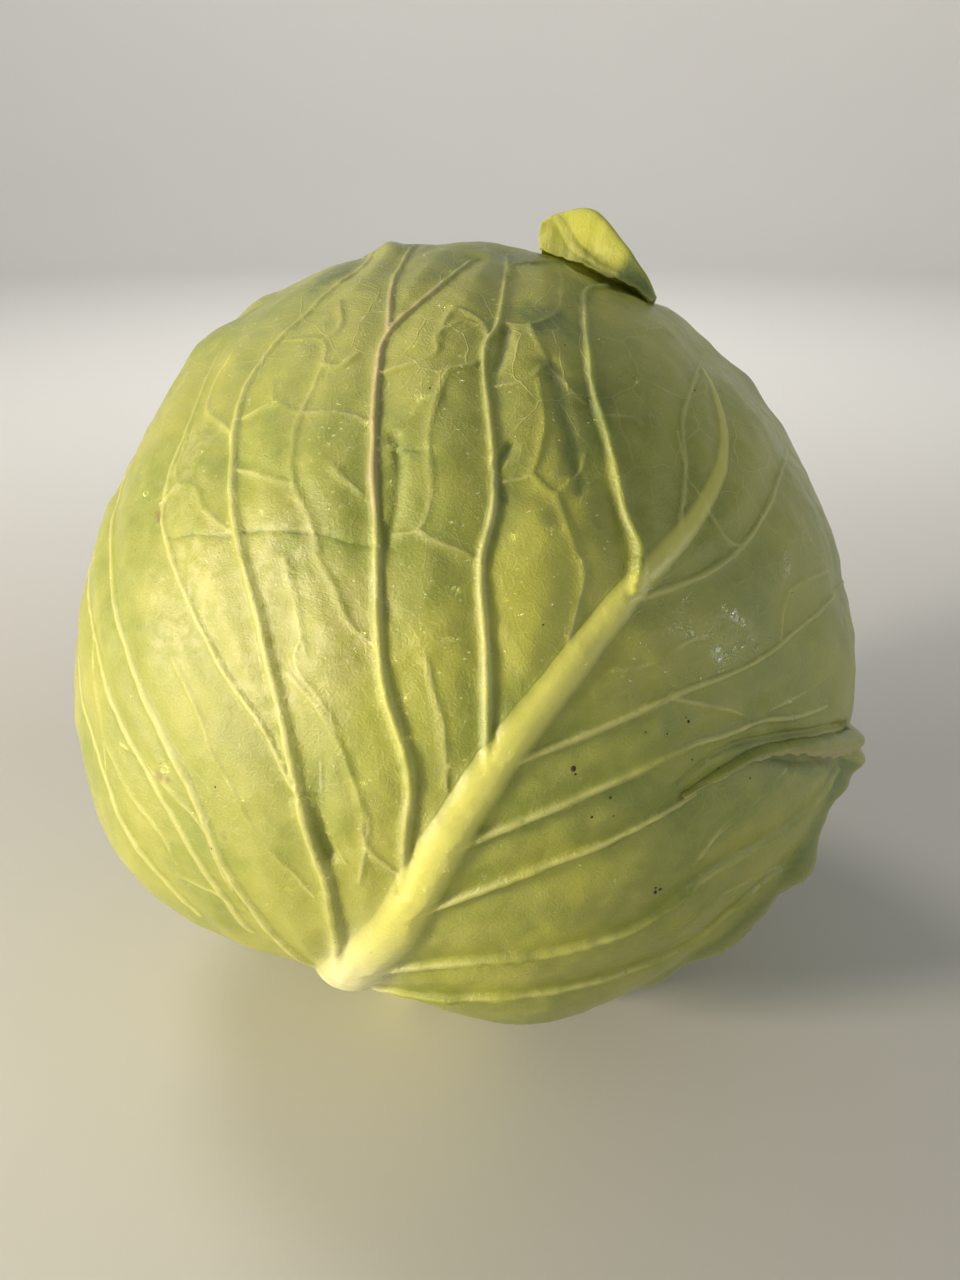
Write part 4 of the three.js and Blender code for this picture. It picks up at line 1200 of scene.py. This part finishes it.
    wet = attribute("wet")
    rough = build.math("ADD", 0.32, build.math("MULTIPLY", grain, 0.12))
    rough = build.math("ADD", rough, build.math("MULTIPLY", patchy, 0.12))
    rough = build.math("SUBTRACT", rough, build.math("MULTIPLY", bloom, 0.08))
    rough = build.math("SUBTRACT", rough, build.math("MULTIPLY", wet, 0.36), clamp=True)
    build.feed(shader.inputs["Roughness"], rough)

    relief = build.math("MULTIPLY", wide_net, 0.35)
    relief = build.math("ADD", relief, build.math("MULTIPLY", fine_net, 0.06))
    relief = build.math("ADD", relief, build.math("MULTIPLY", noise(0.45, 3.0), 0.45))
    waves = build.node("ShaderNodeBump", {"Height": relief, "Strength": 0.5, "Distance": 0.0006})
    bump = build.node("ShaderNodeBump", {
        "Height": build.math("MULTIPLY", grain, plain), "Strength": 0.4, "Distance": 0.0005,
        "Normal": waves.outputs[0]})
    build.feed(shader.inputs["Normal"], bump.outputs[0])
    sparkle = build.node("ShaderNodeBump", {
        "Height": glitter, "Strength": 1.0, "Distance": 0.0012, "Normal": waves.outputs[0]})
    build.feed(shader.inputs["Coat Normal"], sparkle.outputs[0])
    shader.inputs["Subsurface Weight"].default_value = 0.22
    shader.inputs["Subsurface Radius"].default_value = (0.9, 1.0, 0.25)
    shader.inputs["Subsurface Scale"].default_value = 0.0035
    shader.inputs["Specular IOR Level"].default_value = 0.7
    shader.inputs["Coat Weight"].default_value = 0.5
    shader.inputs["Coat Roughness"].default_value = 0.2
    return material


def water_material(name, clearness, roughness):
    material, build, shader = new_material(name)
    place = build.node("ShaderNodeTexCoord").outputs["Object"]
    ripple = build.node("ShaderNodeTexNoise", {"Vector": place, "Scale": 900.0, "Detail": 1.0})
    bump = build.node("ShaderNodeBump", {
        "Height": ripple.outputs[0], "Strength": 0.15, "Distance": 0.0002})
    build.feed(shader.inputs["Normal"], bump.outputs[0])
    shader.inputs["Base Color"].default_value = WATER_TINT
    shader.inputs["Roughness"].default_value = roughness
    shader.inputs["IOR"].default_value = 1.333
    shader.inputs["Transmission Weight"].default_value = clearness
    shader.inputs["Alpha"].default_value = 0.6
    shader.inputs["Specular IOR Level"].default_value = 1.0
    return material


def speck_material():
    material, build, shader = new_material("dark_speck")
    place = build.node("ShaderNodeTexCoord").outputs["Object"]
    grain = build.node("ShaderNodeTexNoise", {"Vector": place, "Scale": 2500.0, "Detail": 2.0})
    build.feed(shader.inputs["Base Color"], mix_colour(build, grain.outputs[0], *SPECK_TONES))
    shader.inputs["Roughness"].default_value = 0.7
    return material


def stem_material(flesh, rind):
    """Cut stem: cream flesh with a ring of fibres, browner towards its rim."""
    material, build, shader = new_material("stem_flesh")
    attribute = lambda key: build.node(
        "ShaderNodeAttribute", attribute_name=key).outputs["Fac"]
    place = build.node("ShaderNodeTexCoord").outputs["Object"]
    fibre = build.node("ShaderNodeTexNoise", {"Vector": place, "Scale": 700.0, "Detail": 4.0})
    stain = build.node("ShaderNodeTexNoise", {"Vector": place, "Scale": 130.0, "Detail": 5.0})
    reach = attribute("reach")
    ring = build.math("MULTIPLY", ramp(build, reach, 0.58, 0.72), ramp(build, reach, 0.86, 0.74))
    colour = mix_colour(build, fibre.outputs[0], flesh, rind)
    colour = mix_colour(build, build.math("MULTIPLY", ring, 0.5), colour, FIBRE_RING)
    brown = build.math("MULTIPLY", ramp(build, reach, 0.8, 1.0),
                       ramp(build, stain.outputs[0], 0.4, 0.65))
    colour = mix_colour(build, build.math("MULTIPLY", brown, 0.7), colour, CUT_BROWN)
    build.feed(shader.inputs["Base Color"], colour)
    relief = build.math("ADD", fibre.outputs[0], build.math("MULTIPLY", ring, 0.6))
    bump = build.node("ShaderNodeBump", {"Height": relief, "Strength": 0.6, "Distance": 0.0005})
    build.feed(shader.inputs["Normal"], bump.outputs[0])
    shader.inputs["Roughness"].default_value = 0.62
    shader.inputs["Subsurface Weight"].default_value = 0.2
    shader.inputs["Subsurface Radius"].default_value = (1.0, 0.8, 0.3)
    shader.inputs["Subsurface Scale"].default_value = 0.003
    return material


def floor_material(pale):
    material, build, shader = new_material("pale_floor")
    place = build.node("ShaderNodeTexCoord").outputs["Object"]
    cloud = build.node("ShaderNodeTexNoise", {"Vector": place, "Scale": 3.0, "Detail": 2.0})
    darker = tuple(c * 0.96 for c in pale[:3]) + (1,)
    build.feed(shader.inputs["Base Color"], mix_colour(build, cloud.outputs[0], pale, darker))
    shader.inputs["Roughness"].default_value = 0.55
    return material


class CabbageSizes(bpy.types.PropertyGroup):
    blade_thickness: bpy.props.FloatProperty(
        name="Blade thickness", description="Thickness of a leaf's blade between its ribs",
        default=0.0017, unit="LENGTH")
    front_spacing: bpy.props.FloatProperty(
        name="Front leaf fineness", description="Side of a triangle on the front leaf",
        default=0.00108, unit="LENGTH")
    wrapper_spacing: bpy.props.FloatProperty(
        name="Wrapper leaf fineness", description="Side of a triangle on the other leaves",
        default=0.0019, unit="LENGTH")
    pillow_height: bpy.props.FloatProperty(
        name="Pillow height", description="How far the blade swells between its ribs",
        default=0.0009, unit="LENGTH")
    crumple_height: bpy.props.FloatProperty(
        name="Crumple height", description="Height of the blade's uneven waves",
        default=0.0010, unit="LENGTH")


class CabbageColours(bpy.types.PropertyGroup):
    blade: bpy.props.FloatVectorProperty(
        name="Blade", description="Colour of the outer leaves", subtype="COLOR", size=4,
        default=(0.41, 0.42, 0.05, 1))
    deep: bpy.props.FloatVectorProperty(
        name="Deep green", description="The blade's darker patches", subtype="COLOR", size=4,
        default=(0.26, 0.31, 0.026, 1))
    pale: bpy.props.FloatVectorProperty(
        name="Pale green", description="The blade's paler patches", subtype="COLOR", size=4,
        default=(0.54, 0.535, 0.12, 1))
    rib: bpy.props.FloatVectorProperty(
        name="Rib", description="Colour of the ribs and veins", subtype="COLOR", size=4,
        default=(0.76, 0.74, 0.28, 1))
    base_rib: bpy.props.FloatVectorProperty(
        name="Rib base", description="Colour of the midrib near the stem", subtype="COLOR",
        size=4, default=(0.95, 0.92, 0.55, 1))
    stem: bpy.props.FloatVectorProperty(
        name="Stem flesh", description="Colour of the cut stem", subtype="COLOR", size=4,
        default=(0.78, 0.74, 0.48, 1))


class CabbageStage(bpy.types.PropertyGroup):
    floor_radius: bpy.props.FloatProperty(
        name="Floor radius", description="Of the flat part, before the floor rises all round",
        default=1.7, unit="LENGTH")
    floor: bpy.props.FloatVectorProperty(
        name="Floor", description="Colour of the floor", subtype="COLOR", size=4,
        default=(0.72, 0.71, 0.69, 1))
    key_power: bpy.props.FloatProperty(
        name="Key light", description="Power of the warm light from the left, in watts",
        default=11.0, subtype="POWER")
    fill_power: bpy.props.FloatProperty(
        name="Fill light", description="Power of the cool light from the right, in watts",
        default=1.35, subtype="POWER")
    low_power: bpy.props.FloatProperty(
        name="Low light", description="Power of the soft light near the floor, in watts",
        default=2.4, subtype="POWER")
    top_power: bpy.props.FloatProperty(
        name="Top light", description="Power of the soft light above and behind, in watts",
        default=2.4, subtype="POWER")
    backdrop_power: bpy.props.FloatProperty(
        name="Backdrop light", description="Power of the light on the floor's rise, in watts",
        default=18.0, subtype="POWER")
    camera_distance: bpy.props.FloatProperty(
        name="Camera distance", description="From the lens to the head's centre",
        default=0.2755, unit="LENGTH")
    camera_pitch: bpy.props.FloatProperty(
        name="Camera pitch", description="How far the camera looks down",
        default=math.radians(24), subtype="ANGLE")
    focal_px: bpy.props.FloatProperty(
        name="Focal length in pixels", description="Of a picture 960 by 1280 pixels",
        default=1130.0)


def build_leaf(name, material, spacing, thickness, dense_middle, pillow, crumple):
    """A wrapper leaf from its map: shell, ribs by geometry nodes, and what its finish reads."""
    leaf = LEAVES[name]
    points, faces, attributes, flat, ribs = blade_shell(leaf, spacing, thickness, dense_middle)
    guides = {}
    for rank, lines in ribs.items():
        laid = [(to_row(lay_blade(leaf, line, thickness)[0]), wide, high)
                for line, wide, high in lines]
        guides[rank] = laid
    if name == "front_leaf":
        # Painted shade in the hollows, and in the gap behind the lifted margin at the lower right
        lift = margin_lift(leaf, flat, attributes["inside"]) * (flat[:, 1] < 4) * (flat[:, 0] > 0)
        rim_gap_shade = smoothstep(attributes["inside"] / 1.5) * smoothstep(lift / 1.2)
        attributes["shade"] = np.maximum(soft_spots(flat, HOLLOW_SHADES), 0.8 * rim_gap_shade)
        attributes["lit"] = soft_spots(flat, LIT_PANELS)
        attributes["tinge"] = soft_spots(flat, TINGES)
        attributes["dry"] = 0 * flat[:, 0]
        for shell in (flap_shell(), pleat_shell()):
            more_points, more_faces, more_attributes, more_flat, rib = shell
            faces = np.vstack([faces, more_faces + len(points)])
            points = np.vstack([points, more_points])
            flat = np.vstack([flat, more_flat])
            attributes = {key: np.concatenate([values, more_attributes[key]])
                          for key, values in attributes.items()}
            guides["side_ribs"].append((to_row(rib[0]), rib[1], rib[2]))
        attributes["wet"] = soft_spots(flat, WET_PATCHES)
        # Waxy blooms with a painted sheen
        attributes["bloom"] = soft_spots(flat, BLOOM_AND_SHEEN_PATCHES)
        attributes["blemish"] = 0.8 * soft_spots(
            flat, [(place, (size, size), 1.0) for place, size in BLEMISHES])
        near_base = smoothstep((-52 - flat[:, 1]) / 34) * smoothstep(1.3 - abs(flat[:, 0] + 4) / 9)
        attributes["base"] = 0.85 * near_base
    piece = write_mesh(name + "_blade", to_row(points), faces, attributes, flat)
    objects = {rank: guide_mesh(rank, lines) for rank, lines in guides.items()}
    tree = bpy.data.node_groups.get("raise_ribs") or raise_ribs_tree()
    run_tree(piece, tree, {
        "Midrib": objects["midrib"], "Side ribs": objects["side_ribs"],
        "Thin veins": objects["thin_veins"], "Creases": objects["creases"], "Pillow height": pillow,
        "Crumple height": crumple, "Material": material})
    for guide in objects.values():
        bpy.data.objects.remove(guide)
    press_on_floor(piece)
    finish_piece(piece, "inner_leaf" if name == "inner_leaf" else "outer_leaf", name)
    return piece


class CABBAGE_OT_front_leaf(bpy.types.Operator):
    """Build the outermost leaf with its ribs, lifted margin and curled flap."""

    bl_idname = "cabbage.front_leaf"
    bl_label = "Front leaf"

    def execute(self, context):
        sizes, colours = context.scene.cabbage_sizes, context.scene.cabbage_colours
        material = leaf_material("front_blade", tuple(colours.blade), tuple(colours.deep),
                                 tuple(colours.pale), tuple(colours.rib), tuple(colours.base_rib))
        build_leaf("front_leaf", material, sizes.front_spacing / MM, sizes.blade_thickness / MM,
                   DENSE_MIDDLE, sizes.pillow_height, sizes.crumple_height)
        return {"FINISHED"}


class CABBAGE_OT_wrapper_leaves(bpy.types.Operator):
    """Build the leaves below the front one: round the back, on the left and on the right."""

    bl_idname = "cabbage.wrapper_leaves"
    bl_label = "Wrapper leaves"

    def execute(self, context):
        sizes, colours = context.scene.cabbage_sizes, context.scene.cabbage_colours
        lighten = {"back_leaf": 0.92, "left_leaf": 1.0, "inner_leaf": 1.18}
        for name, light in lighten.items():
            tint = lambda colour: tuple(min(1.0, c * light) for c in colour[:3]) + (1,)
            material = leaf_material(name.replace("leaf", "blade"), tint(colours.blade),
                                     tint(colours.deep), tint(colours.pale), tint(colours.rib),
                                     tint(colours.base_rib))
            build_leaf(name, material, sizes.wrapper_spacing / MM, sizes.blade_thickness / MM, 0,
                       sizes.pillow_height, sizes.crumple_height)
        return {"FINISHED"}


class CABBAGE_OT_heart(bpy.types.Operator):
    """Build the heart, the closed inner leaves with their overlapping margins."""

    bl_idname = "cabbage.heart"
    bl_label = "Heart"

    def execute(self, context):
        colours = context.scene.cabbage_colours
        bpy.ops.mesh.primitive_ico_sphere_add(subdivisions=7, radius=1)
        ball = context.object
        count = len(ball.data.vertices)
        places = np.zeros(count * 3, np.float32)
        ball.data.vertices.foreach_get("co", places)
        corners = np.zeros(len(ball.data.polygons) * 3, np.int32)
        ball.data.polygons.foreach_get("vertices", corners)
        bpy.data.objects.remove(ball)
        dirs = places.reshape(-1, 3).astype(float)
        dirs /= np.linalg.norm(dirs, axis=1)[:, None]
        depth = LEAF_PITCH * sum(cover(leaf, dirs) for leaf in LEAVES.values())
        swirl = np.arctan2(dirs[:, 1], dirs[:, 0]) / (2 * math.pi) + dirs[:, 2] * 0.6
        fold = 0.9 * (1 - (swirl * 3) % 1) * smoothstep(dirs[:, 2] * 2)
        wave = 0.25 * np.sin(dirs[:, 0] * 23 + dirs[:, 1] * 9) * np.sin(dirs[:, 2] * 17)
        points = dirs * layer_radius(dirs, depth + fold + 0.6 - wave, 0)[:, None]
        bore = np.hypot(points[:, 0], points[:, 1])
        sunk = (points[:, 2] < 0) & (bore < STEM_RADIUS + 2)
        points[sunk, 2] = np.maximum(points[sunk, 2], STEM_CUT + 14)
        flat = np.stack([swirl * 300, dirs[:, 2] * 90], 1)
        lines = np.abs((np.degrees(np.arctan2(dirs[:, 1], dirs[:, 0])) / 9 + dirs[:, 2]) % 1 - 0.5)
        attributes = {"rib": smoothstep((0.06 - lines) / 0.06) * 0.6,
                      "rib_away": np.full(count, 0.01)}
        piece = write_mesh("heart_leaves", to_row(points), corners.reshape(-1, 3), attributes, flat)
        light = lambda colour: tuple(min(1.0, c * 1.4 + 0.03) for c in colour[:3]) + (1,)
        piece.data.materials.append(leaf_material(
            "heart_leaf", light(colours.blade), light(colours.deep), light(colours.pale),
            light(colours.rib), light(colours.base_rib)))
        finish_piece(piece, "heart_leaf", "heart")
        return {"FINISHED"}


class CABBAGE_OT_stem(bpy.types.Operator):
    """Build the cut stem and the core that it becomes inside the head."""

    bl_idname = "cabbage.stem"
    bl_label = "Stem"

    def execute(self, context):
        colours = context.scene.cabbage_colours
        segments = 96
        face = [(r, STEM_CUT + 0.5 * (r / STEM_RADIUS) ** 4) for r in np.linspace(0.6, 14.2, 22)]
        side = [(14.7, STEM_CUT + 0.9), (STEM_RADIUS, STEM_CUT + 1.8), (STEM_RADIUS, -70),
                (STEM_RADIUS, -66), (STEM_RADIUS, -62), (STEM_RADIUS * 0.8, -48),
                (STEM_RADIUS * 0.6, -34), (CORE_TIP_RADIUS, CORE_TIP - 4), (3.0, CORE_TIP - 1)]
        profile = np.array(face + side)
        turn = np.linspace(0, 2 * math.pi, segments, endpoint=False)
        radius = profile[:, 0][:, None] * (1 + 0.025 * np.sin(5 * turn) + 0.015 * np.sin(11 * turn))
        height = profile[:, 1][:, None] + 0 * turn
        on_face = (np.arange(len(profile)) < len(face))[:, None]
        saw = 0.22 * np.sin(radius * np.cos(turn) * 2.3) + 0.12 * np.sin(radius * np.sin(turn) * 4)
        height = height + np.where(on_face, saw, 0)
        grid = np.stack([radius * np.cos(turn), radius * np.sin(turn), height], -1)
        points = np.vstack([grid.reshape(-1, 3), [[0, 0, STEM_CUT]], [[0, 0, CORE_TIP]]])
        rows = len(profile)
        index = np.arange(rows * segments).reshape(rows, segments)
        beside = np.roll(index, -1, axis=1)
        a, b, c, d = index[:-1], index[1:], beside[1:], beside[:-1]
        first, last = rows * segments, rows * segments + 1
        middle = np.full(segments, first)
        tip = np.full(segments, last)
        faces = np.vstack([
            np.stack([a, c, b], -1).reshape(-1, 3), np.stack([a, d, c], -1).reshape(-1, 3),
            np.stack([middle, beside[0], index[0]], 1), np.stack([tip, index[-1], beside[-1]], 1)])
        reach = np.append(np.repeat(profile[:, 0] / STEM_RADIUS, segments), [0, 1])
        piece = write_mesh("cut_stem", to_row(points), faces, {"reach": reach})
        rind = tuple(c * 0.8 for c in colours.stem[:3]) + (1,)
        piece.data.materials.append(stem_material(tuple(colours.stem), rind))
        finish_piece(piece, "stem_flesh", "stem")
        return {"FINISHED"}


def scatter_on_front(name, places, tree, flatness, sink, material):
    """Small bodies at places on the front leaf's map, sunk a little into its surface."""
    leaf = LEAVES["front_leaf"]
    flat = np.array([place for place, _ in places], float)
    sizes = np.array([size for _, size in places]) * MM
    mesh = bpy.data.objects["front_leaf_blade"].data
    surface = BVHTree.FromPolygons([v.co for v in mesh.vertices],
                                   [tuple(p.vertices) for p in mesh.polygons])
    dirs = leaf["map"].to_direction(flat) @ HEAD_TURN.T
    centre = Vector(HEAD_CENTRE * MM)
    points, outs = [], []
    for direction, size in zip(dirs, sizes):
        outward = Vector(direction)
        place, normal, _, _ = surface.ray_cast(centre + outward * 0.13, -outward)
        if place is None:
            raise RuntimeError(f"{name}: a place on the leaf's map misses the leaf")
        points.append(place + normal * size * (flatness - sink))
        outs.append(normal)
    mesh = bpy.data.meshes.new(name)
    mesh.from_pydata(points, [], [])
    mesh.attributes.new("size", "FLOAT", "POINT").data.foreach_set("value", sizes)
    mesh.attributes.new("out", "FLOAT_VECTOR", "POINT").data.foreach_set(
        "vector", np.array(outs).ravel())
    piece = bpy.data.objects.new(name, mesh)
    bpy.context.scene.collection.objects.link(piece)
    run_tree(piece, tree, {"Flatness": flatness, "Material": material})
    piece.visible_shadow = False
    finish_piece(piece, "outer_leaf")
    return piece


class CABBAGE_OT_water(bpy.types.Operator):
    """Set water drops on the front leaf."""

    bl_idname = "cabbage.water"
    bl_label = "Water drops"

    def execute(self, context):
        water = water_material("water", 1.0, 0.03)
        scatter_on_front("water_drops", DROPS, scatter_tree("set_drops", 0.7, 3), 0.45, 0.16, water)
        scatter_on_front("puddles", PUDDLES, scatter_tree("set_puddles", 0.3, 4), 0.14, 0.02, water)
        random = np.random.default_rng(11)
        flat = random.normal(0, 1, (4 * MIST_COUNT, 2)) * MIST_SPREAD + MIST_MIDDLE
        flat = flat[inside_margin(LEAVES["front_leaf"], flat) > 6][:MIST_COUNT]
        mist = list(zip(flat, random.uniform(*MIST_RADII, len(flat))))
        scatter_on_front("mist", mist, scatter_tree("set_mist", 0.8, 1), 0.6, 0.2,
                         water_material("mist", 0.75, 0.12))
        return {"FINISHED"}


class CABBAGE_OT_specks(bpy.types.Operator):
    """Set small dark specks of dirt on the front leaf."""

    bl_idname = "cabbage.specks"
    bl_label = "Specks"

    def execute(self, context):
        specks = [(place, SPECK_SHARE * size) for place, size in SPECKS]
        scatter_on_front("dark_specks", specks, scatter_tree("set_specks", 0.5, 2), 0.4, 0.2,
                         speck_material())
        return {"FINISHED"}


def area_light(name, place, target, size, power, colour):
    light = bpy.data.lights.new(name, "AREA")
    light.shape = "DISK"
    light.size = size
    light.energy = power
    light.color = colour
    lamp = bpy.data.objects.new(name, light)
    lamp.location = place
    lamp.rotation_euler = (Vector(target) - Vector(place)).to_track_quat("-Z", "Y").to_euler()
    bpy.context.scene.collection.objects.link(lamp)


class CABBAGE_OT_stage(bpy.types.Operator):
    """Lay the pale floor and set the lights and the camera."""

    bl_idname = "cabbage.stage"
    bl_label = "Stage"

    def execute(self, context):
        stage = context.scene.cabbage_stage
        rise = np.radians(np.arange(0, 81, 8))
        bend_out, bend_up = FLOOR_BEND * np.sin(rise), FLOOR_BEND * (1 - np.cos(rise))
        reach = np.concatenate([[0.5], stage.floor_radius + bend_out, [FLOOR_END[0]]])
        height = np.concatenate([[0.0], bend_up, [FLOOR_END[1]]])
        turn = np.linspace(0, 2 * math.pi, 96, endpoint=False)
        grid = np.stack([reach[:, None] * np.cos(turn), reach[:, None] * np.sin(turn),
                         height[:, None] + 0 * turn], -1).reshape(-1, 3)
        index = np.arange(len(grid)).reshape(len(reach), len(turn))
        beside = np.roll(index, -1, axis=1)
        a, b, c, d = index[:-1], index[1:], beside[1:], beside[:-1]
        middle = np.full(len(turn), len(grid))
        faces = np.vstack([
            np.stack([a, b, c], -1).reshape(-1, 3), np.stack([a, c, d], -1).reshape(-1, 3),
            np.stack([middle, index[0], beside[0]], 1)])
        floor = write_mesh("floor", np.vstack([grid, [[0, 0, 0]]]), faces)
        floor.data.materials.append(floor_material(tuple(stage.floor)))
        world = bpy.data.worlds.new("soft_room")
        world.use_nodes = True
        room = world.node_tree.nodes["Background"].inputs
        room["Color"].default_value = ROOM_TONE
        room["Strength"].default_value = ROOM_STRENGTH
        context.scene.world = world
        centre = Vector(HEAD_CENTRE * MM)
        for name, (place, size, colour) in LIGHTS.items():
            target = BACKDROP_TARGET if name == "backdrop" else centre
            area_light(name, place, target, size, getattr(stage, name + "_power"), colour)
        self.set_camera(context, stage, centre)
        return {"FINISHED"}

    def set_camera(self, context, stage, centre):
        pitch = stage.camera_pitch
        right = Vector((1, 0, 0))
        up = Vector((0, math.sin(pitch), math.cos(pitch)))
        forward = Vector((0, math.cos(pitch), -math.sin(pitch)))
        across = (HEAD_IN_PICTURE[0] - PICTURE[0] / 2) / stage.focal_px
        above = (PICTURE[1] / 2 - HEAD_IN_PICTURE[1]) / stage.focal_px
        sight = (forward + right * across + up * above).normalized()
        camera = bpy.data.cameras.new("camera")
        camera.sensor_width = SENSOR
        camera.lens = SENSOR * stage.focal_px / max(PICTURE)
        camera.clip_start = 0.01
        eye = bpy.data.objects.new("camera", camera)
        eye.matrix_world = Matrix.Translation(centre - sight * stage.camera_distance) @ Matrix(
            (right, up, -forward)).transposed().to_4x4()
        context.scene.collection.objects.link(eye)
        context.scene.camera = eye
        context.scene.view_settings.view_transform = "Standard"


class CABBAGE_PT_panel(bpy.types.Panel):
    """Sizes, colours and the pieces of the cabbage."""

    bl_idname = "CABBAGE_PT_panel"
    bl_label = "White cabbage"
    bl_space_type = "VIEW_3D"
    bl_region_type = "UI"
    bl_category = "Cabbage"

    def draw(self, context):
        for group in ("cabbage_sizes", "cabbage_colours", "cabbage_stage"):
            settings = getattr(context.scene, group)
            for key in settings.__annotations__:
                self.layout.prop(settings, key)
        for operator in OPERATORS:
            self.layout.operator(operator.bl_idname)


OPERATORS = (
    CABBAGE_OT_front_leaf,
    CABBAGE_OT_wrapper_leaves,
    CABBAGE_OT_heart,
    CABBAGE_OT_stem,
    CABBAGE_OT_water,
    CABBAGE_OT_specks,
    CABBAGE_OT_stage,
)
GROUPS = {
    "cabbage_sizes": CabbageSizes,
    "cabbage_colours": CabbageColours,
    "cabbage_stage": CabbageStage,
}


def register():
    for kind in (*GROUPS.values(), *OPERATORS, CABBAGE_PT_panel):
        bpy.utils.register_class(kind)
    for key, kind in GROUPS.items():
        setattr(bpy.types.Scene, key, bpy.props.PointerProperty(type=kind))


def unregister():
    for key in GROUPS:
        delattr(bpy.types.Scene, key)
    for kind in (CABBAGE_PT_panel, *reversed(OPERATORS), *GROUPS.values()):
        bpy.utils.unregister_class(kind)


def main():
    register()
    bpy.ops.cabbage.front_leaf()
    bpy.ops.cabbage.wrapper_leaves()
    bpy.ops.cabbage.heart()
    bpy.ops.cabbage.stem()
    bpy.ops.cabbage.water()
    bpy.ops.cabbage.specks()
    bpy.ops.cabbage.stage()


if __name__ == "__main__":
    main()
